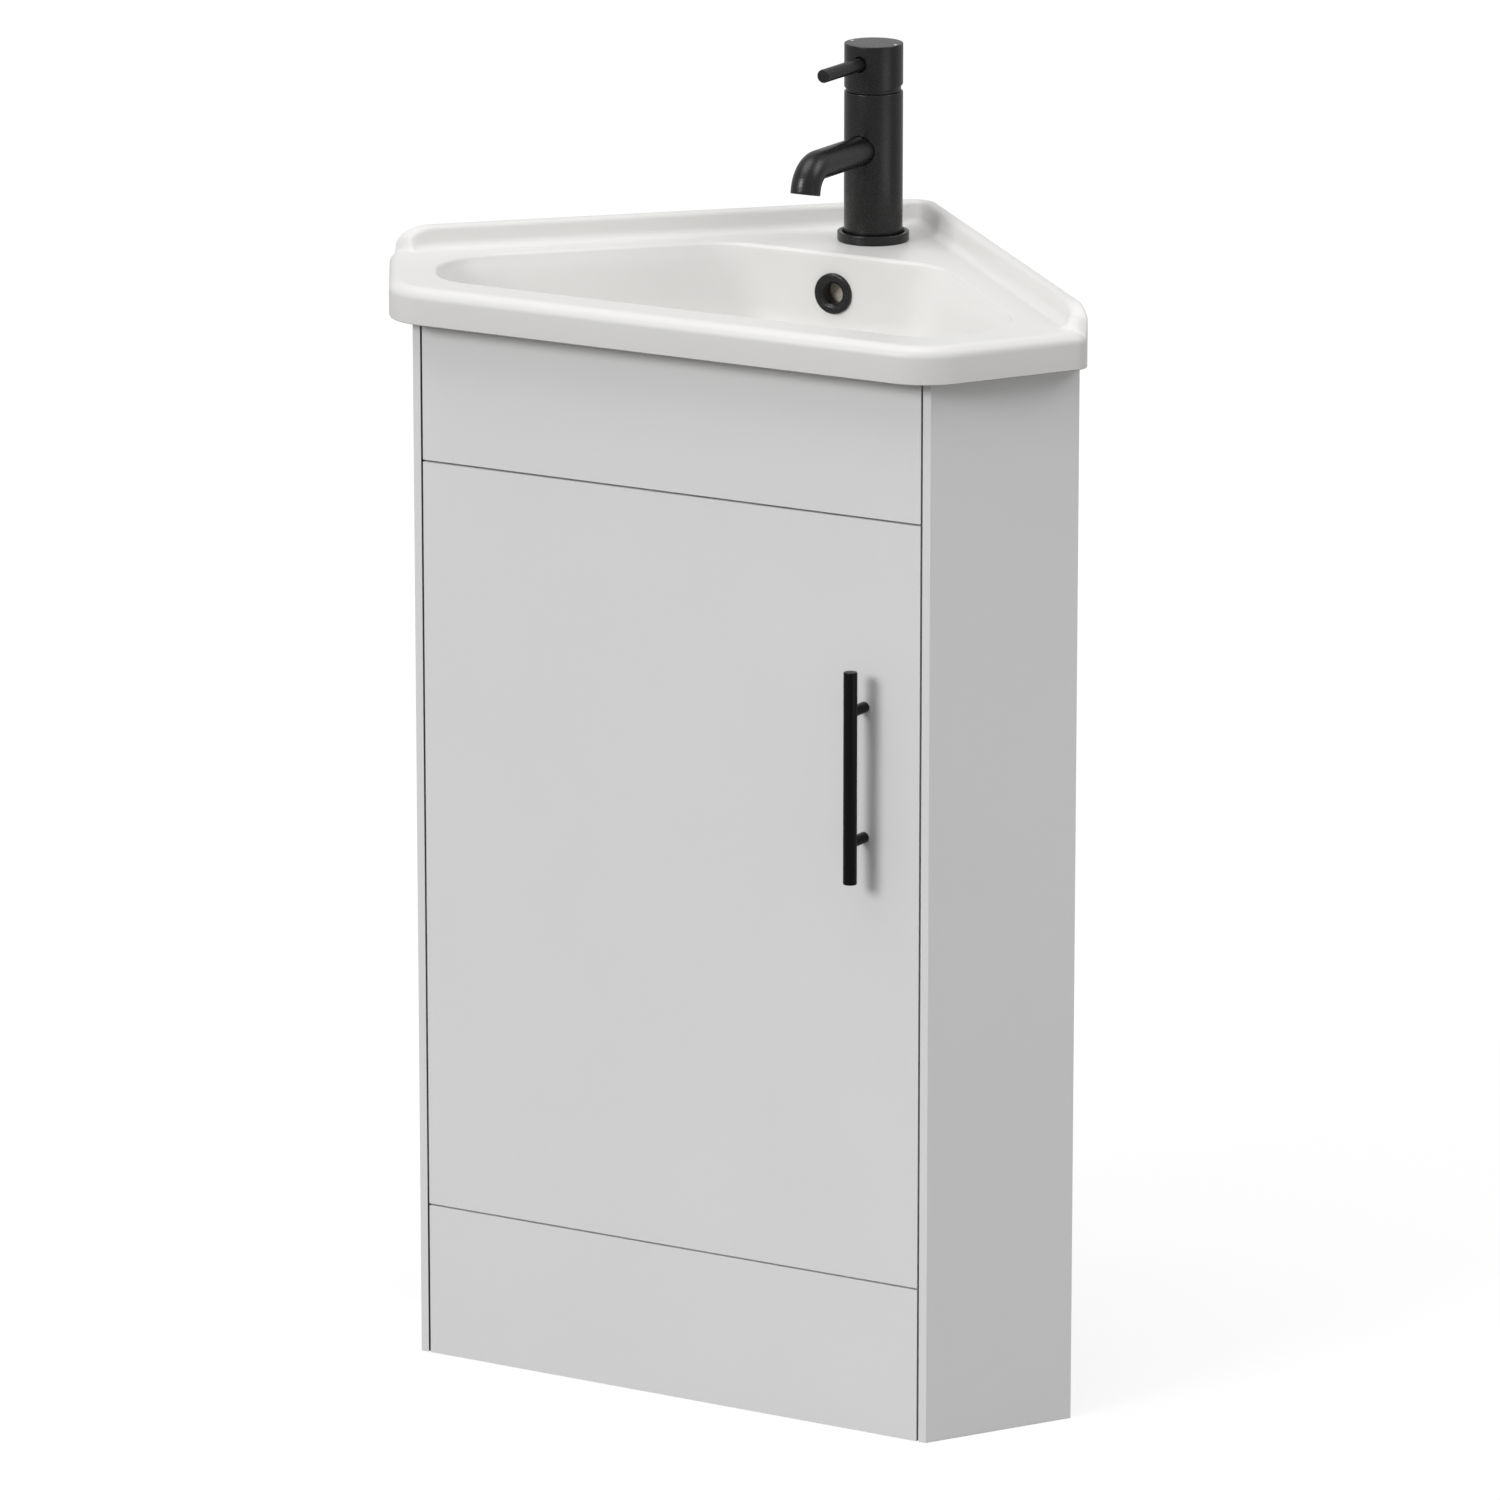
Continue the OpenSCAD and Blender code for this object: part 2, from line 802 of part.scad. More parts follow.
module tap_body() {
    color(satin_black)
        placed()
            difference() {
                translate([0, tap_y, tap_foot_z])
                    rotate_extrude()
                        polygon([
                            [0, 0], [tap_r, 0], [tap_r, tap_top_z - tap_foot_z - 0.8],
                            [tap_r - 0.8, tap_top_z - tap_foot_z], [0, tap_top_z - tap_foot_z]
                        ]);
                tap_cyl(cartridge_r + 0.1, cartridge_z0, tap_top_z + 1);
                tap_cyl(4, spout_z, cartridge_z0 + 1);
                tap_cyl(foot_bore_r, tap_foot_z - 1, inlet_z);
                tap_cyl(stud_r, inlet_z - 1, inlet_z + 16);
                for (x = inlet_x)
                    translate([x, tap_y + inlet_dy, inlet_z - 1])
                        cylinder(r = inlet_r, h = inlet_l + 1);
                rod_y(0, tap_y - tap_r - 1, spout_z, passage_r, tap_r);
                rod_y(0, tap_y - tap_r - 1, spout_z, spout_r, 7);
            }
}

spout_bend_r = 19;
spout_turn = 78;
spout_root_y = tap_y - tap_r + 6;
spout_bend_y = 217;
spout_tip = 4;
// The tip starts a little inside the bend, so that the two join.
tip_lap = 0.02;

// The spout's path in its own plane, as a solid of radius r: root, bend and tip.
module spout_run(r, tip) {
    rod_y(0, spout_bend_y, spout_z, r, spout_root_y - spout_bend_y);
    translate([0, spout_bend_y, spout_z - spout_bend_r])
        rotate([0, 90, 0])
            rotate([0, 0, 180])
                rotate_extrude(angle = spout_turn)
                    translate([spout_bend_r, 0])
                        circle(r = r);
    translate([0, spout_bend_y, spout_z - spout_bend_r])
        rotate([spout_turn, 0, 0])
            translate([0, tip_lap, spout_bend_r])
                rotate([90, 0, 0])
                    cylinder(r = r, h = tip + tip_lap);
}

module spout() {
    color(satin_black)
        placed()
            difference() {
                spout_run(spout_r, spout_tip);
                spout_run(passage_r, spout_tip + 1);
            }
}

// Aerator insert: a short sleeve with a grid, just inside the spout's mouth.
module aerator() {
    color(zinc)
        placed()
            translate([0, spout_bend_y, spout_z - spout_bend_r])
                rotate([spout_turn, 0, 0])
                    translate([0, -spout_tip + 1.2, spout_bend_r])
                        rotate([-90, 0, 0])
                            difference() {
                                cylinder(r = passage_r, h = 2.4);
                                translate([0, 0, -1])
                                    cylinder(r = 1.2, h = 5);
                                for (i = [0:5])
                                    rotate([0, 0, i * 60])
                                        translate([5, 0, -1])
                                            cylinder(r = 1.6, h = 5);
                            }
}

cartridge_neck_r = 12.5;

// Ceramic disc cartridge: a can with a lower shoulder, open at the top for the spindle.
module tap_cartridge() {
    color(clear_plastic)
        placed()
            difference() {
                union() {
                    tap_cyl(cartridge_r, cartridge_z0, shoulder_z);
                    tap_cyl(cartridge_neck_r, shoulder_z, tap_top_z - 3);
                }
                tap_cyl(neck_bore_r, shoulder_z - 6, tap_top_z);
            }
}

module cartridge_nut() {
    color(zinc)
        placed()
            difference() {
                tap_cyl(cartridge_r, shoulder_z, tap_top_z - 4);
                tap_cyl(cartridge_neck_r, shoulder_z - 1, tap_top_z);
                for (i = [0:5])
                    translate([0, tap_y, tap_top_z - 7])
                        rotate([0, 0, i * 60])
                            translate([cartridge_r - 1.5, -2, 0])
                                cube([4, 4, 4]);
            }
}

tilt_z = tap_top_z;
ball_r = 20.4;
rotor_r = 6.2;
tilt_pin_r = 1.25;
spindle_r = 4.02;
spindle_thin_r = 2.8;
spindle_top_z = lever_z + 7.5;

// Rotor in the cartridge's neck, with a slot in which the spindle tips on its pin.
module cartridge_rotor() {
    slot_half = spindle_thin_r + 0.2;
    color(clear_plastic)
        placed()
            difference() {
                tap_cyl(rotor_r, shoulder_z - 4, tilt_z + 4);
                translate([-slot_half, tap_y - rotor_r - 1, shoulder_z - 2])
                    cube([2 * slot_half, 2 * rotor_r + 2, tilt_z]);
                tilt_axis_rod(tilt_pin_r, rotor_r + 1);
            }
}

// A rod along the axis that the spindle tips on.
module tilt_axis_rod(r, half_l) {
    translate([-half_l, tap_y, tilt_z])
        rotate([0, 90, 0])
            cylinder(r = r, h = 2 * half_l);
}

module tilt_pin() {
    color(steel)
        placed()
            tilt_axis_rod(tilt_pin_r, rotor_r - 0.4);
}

// Collar that turns with the cap: a zone of a ball round the tilt axis, so that the cap can tip over it.
module swivel_collar() {
    color(satin_black)
        placed()
            translate([0, tap_y, tilt_z])
                difference() {
                    union() {
                        intersection() {
                            sphere(r = ball_r);
                            translate([0, 0, 0.5])
                                cylinder(r = ball_r + 1, h = 8.5);
                        }
                        translate([0, 0, -4])
                            cylinder(r = cartridge_r, h = 6);
                    }
                    translate([0, 0, -5])
                        cylinder(r = 15.5, h = 16);
                }
}

cap_front_z = 927.2;
cap_rear_z = 931.7;
grub_z = 951;

// Cap: a drum whose lower edge rises to the back, hollow over the collar.
module lever_cap() {
    rake = atan((cap_rear_z - cap_front_z) / (2 * tap_r));
    mid_z = (cap_front_z + cap_rear_z) / 2;
    color(satin_black)
        placed()
            difference() {
                translate([0, tap_y, tilt_z])
                    rotate_extrude()
                        polygon([
                            [0, 0], [tap_r, 0], [tap_r, cap_top_z - tilt_z - 0.5],
                            [tap_r - 0.5, cap_top_z - tilt_z], [0, cap_top_z - tilt_z]
                        ]);
                translate([0, tap_y, mid_z])
                    rotate([rake, 0, 0])
                        translate([-30, -30, -20])
                            cube([60, 60, 20]);
                translate([0, tap_y, tilt_z])
                    sphere(r = ball_r + 0.35);
                tap_cyl(spindle_r, tilt_z, spindle_top_z);
                rod_y(0, tap_y - tap_r - 2, lever_z, lever_r, lever_root_y - tap_y + tap_r + 2);
                rod_y(0, tap_y + 3, grub_z, 2, 24);
                for (side = [-1, 1])
                    cap_mark(side);
            }
}

lever_root_y = tap_y - tap_r + 8;
lever_tip_y = 223.5;
lever_r = 5;

// Lever: a round bar with eased ends, which sits in a hole of the cap.
module lever_pin() {
    l = lever_root_y - lever_tip_y;
    color(satin_black)
        placed()
            translate([0, lever_tip_y, lever_z])
                rotate([-90, 0, 0])
                    rotate_extrude()
                        polygon([[0, 0], [lever_r - 0.5, 0], [lever_r, 0.5], [lever_r, l], [0, l]]);
}

module cartridge_spindle() {
    color(zinc)
        placed()
            difference() {
                union() {
                    tap_cyl(spindle_r, tilt_z + 6, spindle_top_z);
                    tap_cyl(spindle_thin_r, tilt_z - 11, tilt_z + 6);
                }
                tilt_axis_rod(tilt_pin_r + 0.05, rotor_r);
            }
}

module grub_screw() {
    color(steel)
        placed()
            difference() {
                rod_y(0, tap_y + spindle_r, grub_z, 2, 12);
                rod_y(0, tap_y + 13, grub_z, 1, 4);
            }
}

// Pale insert in the cap's top face; side is -1 for hot and 1 for cold.
module cap_mark(side) {
    translate([side * 18.2, tap_y, cap_top_z - 0.6])
        cylinder(r = 1.3, h = 0.6);
}

module pale_mark(side) {
    color(white)
        placed()
            cap_mark(side);
}

module tap_stud() {
    color(steel)
        placed()
            tap_cyl(stud_r - stud_fit, stud_z0, inlet_z + 14);
}

// Disc under the deck that the stud pulls up, with two slots for the inlets.
module clamp_disc(z0) {
    difference() {
        tap_cyl(22, z0, z0 + 2.5);
        tap_cyl(stud_r - stud_fit, z0 - 1, z0 + 4);
        for (x = inlet_x)
            translate([x, tap_y + inlet_dy, z0 - 1]) {
                cylinder(r = 5.6, h = 5);
                translate([-5.6, -20, 0])
                    cube([11.2, 20, 5]);
            }
    }
}

module clamp_plate() {
    color(zinc)
        placed()
            clamp_disc(deck_under_z - 5);
}

module clamp_washer() {
    color(rubber_black)
        placed()
            clamp_disc(deck_under_z - 2.5);
}

module stud_nut() {
    color(steel)
        placed()
            difference() {
                translate([0, tap_y, deck_under_z - 20])
                    cylinder(r = 6.5, h = 15, $fn = 6);
                tap_cyl(stud_r - stud_fit, deck_under_z - 21, deck_under_z);
            }
}

// ---- Hinges ----

// A bar of the arm's thickness between two plan points, with round ends.
module arm_bar(a, b, t) {
    d = b - a;
    l = norm(d);
    translate([a[0], a[1]])
        rotate([0, 0, atan2(d[1], d[0])]) {
            translate([0, -t / 2])
                square([l, t]);
            circle(r = t / 2);
            translate([l, 0])
                circle(r = t / 2);
        }
}

// Plan points of a local place on the left gable, so that the arm can be drawn in one outline.
function gable_point(x, y) = [
    -gable_inner_x + x * cos(flare) - y * sin(flare),
    x * sin(flare) + y * cos(flare)
];

wrap_x = pin_x + 10.5;
wrap_y = 30.5;
arm_y0 = 38;
arm_y1 = 92;

// The arm wraps from the pin round the door's edge, then runs along the gable as a channel.
module hinge_arm(z) {
    path = [
        [pin_x, pin_y],
        [wrap_x, pin_y],
        [wrap_x, wrap_y],
        gable_point(arm_out, arm_y0),
        gable_point(arm_out, arm_y1)
    ];
    color(zinc)
        placed()
            difference() {
                union() {
                    translate([0, 0, z - arm_half_h])
                        linear_extrude(2 * arm_half_h) {
                            for (i = [0:len(path) - 2])
                                arm_bar(path[i], path[i + 1], arm_t);
                            translate(path[0])
                                circle(r = 3.3);
                        }
                    for (s = [-1, 1])
                        on_gable(-1, z + s * arm_half_h)
                            translate([4.5, arm_y0 + 2, s > 0 ? -1.5 : 0])
                                cube([arm_out - 4.5, arm_y1 - arm_y0 - 4, 1.5]);
                }
                translate([pin_x, pin_y, z - arm_half_h - 1])
                    cylinder(r = pin_r + pin_fit, h = 2 * arm_half_h + 2);
                on_gable(-1, z)
                    for (y = [plate_along - 10, plate_along + 16])
                        translate([0, y, 0])
                            rotate([0, 90, 0])
                                cylinder(r = 2.5, h = 20);
            }
}

// Mounting plate: a raised bed under the arm on two wings that are screwed to the gable.
module hinge_plate(z) {
    color(zinc)
        placed()
            on_gable(-1, z)
                difference() {
                    union() {
                        translate([0, plate_along - 8, -26])
                            cube([2.5, 16, 52]);
                        translate([0, plate_along - 22, -6.2])
                            cube([arm_out - arm_t / 2, 48, 12.4]);
                    }
                    for (s = [-1, 1])
                        translate([-1, plate_along, s * 16])
                            rotate([0, 90, 0])
                                cylinder(r = 2.6, h = 5);
                    for (y = [plate_along - 10, plate_along + 16])
                        translate([3, y, 0])
                            rotate([0, 90, 0])
                                cylinder(r = 2, h = 20);
                }
}

// The shanks of the plates' screws, which also cut their holes in the gable.
module plate_screw_shanks() {
    for (z = hinge_z, s = [-1, 1])
        on_gable(-1, z)
            translate([2.5, plate_along, s * 16])
                rotate([0, -90, 0])
                    cylinder(r = 2.6, h = 13);
}

module plate_screws() {
    color(steel)
        placed()
            for (z = hinge_z, s = [-1, 1])
                on_gable(-1, z)
                    translate([2.5, plate_along, s * 16])
                        rotate([0, 0, 90])
                            screw_y(4.2, 2.6, 2.6, 13);
}

module arm_screws() {
    color(steel)
        placed()
            for (z = hinge_z, y = [plate_along - 10, plate_along + 16])
                on_gable(-1, z)
                    translate([arm_out + arm_t / 2, y, 0])
                        rotate([0, 0, 90])
                            screw_y(4, 2.2, 2, 9);
}

// Cup: a die-cast body in the door's bore, with a pocket for the arm and a flange with two ears.
module hinge_cup(z) {
    color(zinc)
        placed()
            difference() {
                union() {
                    rod_y(cup_x, door_t - cup_depth, z, cup_r, cup_depth);
                    translate([cup_x - 6, door_t, z])
                        rotate([-90, 0, 0])
                            linear_extrude(1.2)
                                difference() {
                                    union() {
                                        translate([-4, -24])
                                            square([22, 48]);
                                        for (s = [-1, 1])
                                            translate([9, s * 24])
                                                circle(r = 7);
                                    }
                                    for (s = [-1, 1])
                                        translate([9, s * 24])
                                            circle(r = 2.2);
                                }
                }
                translate([pin_x - 8, cup_pocket_y, z - pocket_half_h])
                    cube([cup_pocket_w, 20, 2 * pocket_half_h]);
                translate([pin_x, pin_y, z - 12])
                    cylinder(r = pin_r, h = 24);
            }
}

module hinge_pins() {
    color(steel)
        placed()
            for (z = hinge_z)
                translate([pin_x, pin_y, z - 12])
                    cylinder(r = pin_r, h = 24);
}

module cup_screws() {
    color(steel)
        placed()
            for (z = hinge_z, s = [-1, 1])
                translate([cup_x + 3, door_t + 1.2, z + s * 24])
                    rotate([0, 0, 180])
                        screw_y(3.8, 2.2, 2.2, 12);
}

// ---- Door ----

module door_panel() {
    color(grey)
        placed()
            difference() {
                translate([-door_x, 0, door_z0])
                    cube([2 * door_x, door_t, door_z1 - door_z0]);
                for (z = hinge_z) {
                    rod_y(cup_x, door_t - cup_depth, z, cup_r, cup_depth + 1);
                    for (s = [-1, 1])
                        rod_y(cup_x + 3, door_t - 10.8, z + s * 24, 2.2, 12);
                }
                for (s = [-1, 1])
                    rod_y(handle_x, -1, handle_z + s * handle_centres / 2, 2, door_t + 2);
            }
}

module handle_bar() {
    color(satin_black)
        placed()
            difference() {
                translate([handle_x, -handle_out, handle_z - handle_l / 2])
                    rotate_extrude()
                        polygon([
                            [0, 0], [handle_r - 0.5, 0], [handle_r, 0.5], [handle_r, handle_l - 0.5],
                            [handle_r - 0.5, handle_l], [0, handle_l]
                        ]);
                handle_post_rods(4);
            }
}

module handle_post_rods(r) {
    for (s = [-1, 1])
        rod_y(handle_x, -handle_out, handle_z + s * handle_centres / 2, r, handle_out);
}

module handle_posts() {
    color(satin_black)
        placed()
            difference() {
                handle_post_rods(4);
                for (s = [-1, 1])
                    rod_y(handle_x, -12, handle_z + s * handle_centres / 2, 2, 14);
            }
}

module handle_screws() {
    color(steel)
        placed()
            for (s = [-1, 1])
                translate([handle_x, door_t, handle_z + s * handle_centres / 2])
                    rotate([0, 0, 180])
                        screw_y(4, 2.4, 2, 27);
}

module door_bumpers() {
    color(clear_plastic)
        placed()
            for (z = [base_z0 + base_t - 5, rail_z0 + 11])
                translate([door_x - 32, door_t, z])
                    rotate([-90, 0, 0])
                        cylinder(r1 = 4, r2 = 3.4, h = 1.7);
}

// ---- The nodes ----

end_panel(-1);  // left_end_panel
end_panel(1);  // right_end_panel
gable(-1);  // left_gable
gable(1);  // right_gable
base_panel();
front_board(0, plinth_top_z);  // plinth_board
plinth_rail();
front_board(fascia_z0, cab_h);  // front_fascia
front_rail();
corner_post();
top_rail(-1);  // left_top_rail
top_rail(1);  // right_top_rail
low_rail(-1);  // left_low_rail
low_rail(1);  // right_low_rail
cam_locks();
corner_blocks();
hinge_plate(hinge_z[1]);  // upper_hinge_plate
hinge_plate(hinge_z[0]);  // lower_hinge_plate
hinge_arm(hinge_z[1]);  // upper_hinge_arm
hinge_arm(hinge_z[0]);  // lower_hinge_arm
plate_screws();
arm_screws();
basin();
overflow_ring();
waste_body();
waste_seal();
waste_washer();
waste_nut();
waste_cartridge();
tap_body();
tap_flange();
tap_seal();
spout();
aerator();
tap_cartridge();
cartridge_nut();
tap_stud();
clamp_washer();
clamp_plate();
stud_nut();
door_panel();
handle_bar();
handle_posts();
handle_screws();
hinge_cup(hinge_z[1]);  // upper_hinge_cup
hinge_cup(hinge_z[0]);  // lower_hinge_cup
hinge_pins();
cup_screws();
door_bumpers();
swivel_collar();
cartridge_rotor();
tilt_pin();
lever_cap();
lever_pin();
cartridge_spindle();
grub_screw();
pale_mark(-1);  // hot_mark
pale_mark(1);  // cold_mark
waste_plug();
plug_seal();
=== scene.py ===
"""Corner vanity unit: its finishes, its smooth basin and tap, its light and its camera.

Places are in millimetres from the middle of the front face at the floor: across, back and up.
"""

import math

import bmesh
import bpy
from mathutils import Matrix, Vector


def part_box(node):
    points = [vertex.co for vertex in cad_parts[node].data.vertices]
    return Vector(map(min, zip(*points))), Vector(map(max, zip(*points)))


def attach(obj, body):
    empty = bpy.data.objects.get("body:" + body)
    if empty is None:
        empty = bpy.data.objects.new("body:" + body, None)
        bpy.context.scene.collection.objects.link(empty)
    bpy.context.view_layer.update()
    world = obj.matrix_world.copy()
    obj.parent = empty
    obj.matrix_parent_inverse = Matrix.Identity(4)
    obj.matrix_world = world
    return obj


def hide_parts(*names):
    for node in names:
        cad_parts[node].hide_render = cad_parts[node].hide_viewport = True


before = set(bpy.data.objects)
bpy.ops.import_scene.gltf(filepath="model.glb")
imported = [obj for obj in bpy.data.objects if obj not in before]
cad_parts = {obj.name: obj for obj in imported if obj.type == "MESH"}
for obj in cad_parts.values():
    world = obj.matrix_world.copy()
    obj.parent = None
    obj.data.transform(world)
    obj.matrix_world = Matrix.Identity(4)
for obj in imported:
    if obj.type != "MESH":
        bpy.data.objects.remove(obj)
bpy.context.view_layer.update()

MM = 0.001
FRONT_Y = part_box("plinth_board")[0].y

# Cabinet and basin. On the walls' faces, across and back add up to WALL_SUM.
HALF_W = 214.8
FLARE = math.radians(31.8)
CAB_H = 786
WALL_SUM = 385.4
RIM_FRONT = 21
RIM_SIDE = 17
DECK_Z = 813
DECK_THICK = 16
DECK_UNDER_Z = DECK_Z - DECK_THICK
UPSTAND_Z = 830
BOWL_DEPTH = 110
BOWL_WALL = 10
FLOOR_Z = DECK_Z - BOWL_DEPTH
FLOOR_THICK = 14
FLOOR_UNDER_Z = FLOOR_Z - FLOOR_THICK
WASTE_Y = 126
WASTE_HOLE_R = 23
WASTE_RECESS_R = 33
WASTE_RECESS_DEPTH = 2.5
WASTE_BOSS_R = 38
WASTE_BOSS_HALF = 4
OVERFLOW_Y = 240
OVERFLOW_Z = 783
OVERFLOW_HOLE_R = 11
TAP_HOLE_R = 17.5

# Tap
TAP_Y = 299
TAP_R = 21.75
TAP_FRONT_Y = TAP_Y - TAP_R
TAP_FOOT_Z = DECK_Z + 0.8
TAP_TOP_Z = 925
CAP_FRONT_Z = 927.2
CAP_REAR_Z = 931.7
CAP_MIDDLE_Z = (CAP_FRONT_Z + CAP_REAR_Z) / 2
CAP_FACE_Z = 960.65
BALL_R = 20.4
CAP_HOLLOW_R = BALL_R + 0.35
GRUB_Z = 951
SPOUT_Z = 883
SPOUT_R = 11
SPOUT_BORE_R = 8.6
SPOUT_ROOT_Y = TAP_FRONT_Y + 6
SPOUT_BEND_Y = 217
SPOUT_BEND_R = 19
SPOUT_TURN = math.radians(78)
SPOUT_TIP = 4
LEVER_Z = 947.5
LEVER_R = 5
LEVER_ROOT_Y = TAP_FRONT_Y + 8
LEVER_TIP_Y = 223.5

# Handle
HANDLE_X = 162
HANDLE_Z = 495
HANDLE_L = 156
HANDLE_CENTRES = 96
HANDLE_OUT = 20.5
HANDLE_R = 5
POST_R = 4

# Points round a turned form, degrees between faces that shade as one, and how far cutters run past a face
ROUND_STEPS = 96
SMOOTH_ANGLE = 35
PAST = 1


def at(x, y, z):
    """A place on the object, as a point of the frame in metres."""
    return Vector((x * MM, FRONT_Y + y * MM, z * MM))


# ---- Meshes ----


def new_piece(name, points, faces, body, slot, material, replaced):
    """A piece from places in millimetres, riding on a body in place of CAD nodes."""
    mesh = bpy.data.meshes.new(name)
    mesh.from_pydata([at(*p) for p in points], [], faces)
    mesh.validate()
    piece = bpy.data.objects.new(name, mesh)
    bpy.context.scene.collection.objects.link(piece)
    mesh.materials.append(material)
    close_and_shade(mesh)
    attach(piece, body)
    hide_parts(*replaced)
    return piece


def close_and_shade(mesh, smooth_angle=SMOOTH_ANGLE):
    """Merges doubled points, turns the faces outward and smooths all but the sharp edges."""
    work = bmesh.new()
    work.from_mesh(mesh)
    bmesh.ops.remove_doubles(work, verts=work.verts, dist=0.001 * MM)
    bmesh.ops.recalc_face_normals(work, faces=work.faces)
    work.to_mesh(mesh)
    work.free()
    mesh.polygons.foreach_set("use_smooth", [True] * len(mesh.polygons))
    mesh.set_sharp_from_angle(angle=math.radians(smooth_angle))


def scratch_object(name, points, faces, materials, material_index=0):
    """A closed cutter or addition for a boolean, which is removed after use."""
    mesh = bpy.data.meshes.new(name)
    mesh.from_pydata([at(*p) for p in points], [], faces)
    for material in materials:
        mesh.materials.append(material)
    close_and_shade(mesh)
    mesh.polygons.foreach_set("material_index", [material_index] * len(mesh.polygons))
    scratch = bpy.data.objects.new(name, mesh)
    bpy.context.scene.collection.objects.link(scratch)
    return scratch


def combine(piece, others, operation):
    """Applies exact booleans to a piece and removes the other meshes."""
    for other in others:
        modifier = piece.modifiers.new("combine", "BOOLEAN")
        modifier.solver = "EXACT"
        modifier.operation = operation
        modifier.object = other
    depsgraph = bpy.context.evaluated_depsgraph_get()
    result = bpy.data.meshes.new_from_object(piece.evaluated_get(depsgraph))
    piece.modifiers.clear()
    piece.data = result
    for other in others:
        bpy.data.objects.remove(other)


def rounded(corners, steps=6):
    """An outline of (x, y) or (x, y, radius) corners, with an arc at each one that has a radius."""
    points = []
    for i, corner in enumerate(corners):
        here = Vector(corner[:2])
        radius = corner[2] if len(corner) > 2 else 0
        if not radius or i in (0, len(corners) - 1):
            points.append(tuple(here))
            continue
        before = (Vector(corners[i - 1][:2]) - here).normalized()
        after = (Vector(corners[i + 1][:2]) - here).normalized()
        half = before.angle(after) / 2
        reach = radius / math.tan(half)
        middle = here + (before + after).normalized() * (radius / math.sin(half))
        start = here + before * reach - middle
        end = here + after * reach - middle
        turn = start.angle_signed(end)
        for k in range(steps + 1):
            points.append(tuple(middle + Matrix.Rotation(-turn * k / steps, 2) @ start))
    return points


def lathe(profile, place, steps=ROUND_STEPS, ring=False):
    """Points and faces of a profile of (radius, height) turned about an axis. place maps (x, y, height)."""
    points = []
    for radius, height in profile:
        for k in range(steps):
            angle = 2 * math.pi * k / steps
            points.append(place(radius * math.cos(angle), radius * math.sin(angle), height))
    rows = len(profile)
    faces = []
    for row in range(rows if ring else rows - 1):
        for k in range(steps):
            a = row * steps + k
            b = row * steps + (k + 1) % steps
            over = (row + 1) % rows * steps
            faces.append((a, b, over + (k + 1) % steps, over + k))
    if not ring:
        for row in (0, rows - 1):
            if profile[row][0] > 0:
                faces.append([row * steps + k for k in range(steps)])
    return points, faces


def upright(y, z0=0, x0=0):
    """Places heights along +Z on an axis through (x0, y)."""
    return lambda x, across, height: (x0 + x, y + across, z0 + height)


def toward_back(x0, y0, z0):
    """Places heights along +Y from y0."""
    return lambda x, across, height: (x0 + x, y0 + height, z0 + across)


def stack(rings, close_ends=True):
    """Points and faces of a stack of rings with equal counts, each end closed to its middle."""
    count = len(rings[0])
    points = [p for ring in rings for p in ring]
    faces = []
    for row in range(len(rings) - 1):
        for k in range(count):
            a = row * count + k
            b = row * count + (k + 1) % count
            faces.append((a, b, b + count, a + count))
    if close_ends:
        for row in (0, len(rings) - 1):
            ring = rings[row]
            points.append(tuple(sum(p[i] for p in ring) / count for i in range(3)))
            middle = len(points) - 1
            faces += [(row * count + k, row * count + (k + 1) % count, middle) for k in range(count)]
    return points, faces


def tube_cutter(radius, place, length, materials, index=0):
    """A round cutter. index picks which of the materials lines the hole."""
    return scratch_object("cutter", *lathe([(radius, 0), (radius, length)], place), materials, index)


def upright_cutter(radius, y, low, high, materials, index=0):
    """A round cutter on an upright axis, between two heights."""
    return tube_cutter(radius, upright(y, low), high - low, materials, index)


def mix(a, b, t):
    return a + (b - a) * t


def mix_point(p, q, t):
    return tuple(mix(a, b, t) for a, b in zip(p, q))


def smooth(t):
    return t * t * (3 - 2 * t)


# ---- Materials ----


def add_node(tree, kind, inputs=None, **settings):
    """A node with its settings, and with its inputs joined to sockets or set to values."""
    made = tree.nodes.new(kind)
    for name, value in settings.items():
        setattr(made, name, value)
    for name, value in (inputs or {}).items():
        if isinstance(value, bpy.types.NodeSocket):
            tree.links.new(value, made.inputs[name])
        else:
            made.inputs[name].default_value = value
    return made


def calculate(tree, operation, *values):
    """The result of a math node on values or sockets."""
    return add_node(tree, "ShaderNodeMath", dict(enumerate(values)), operation=operation).outputs[0]


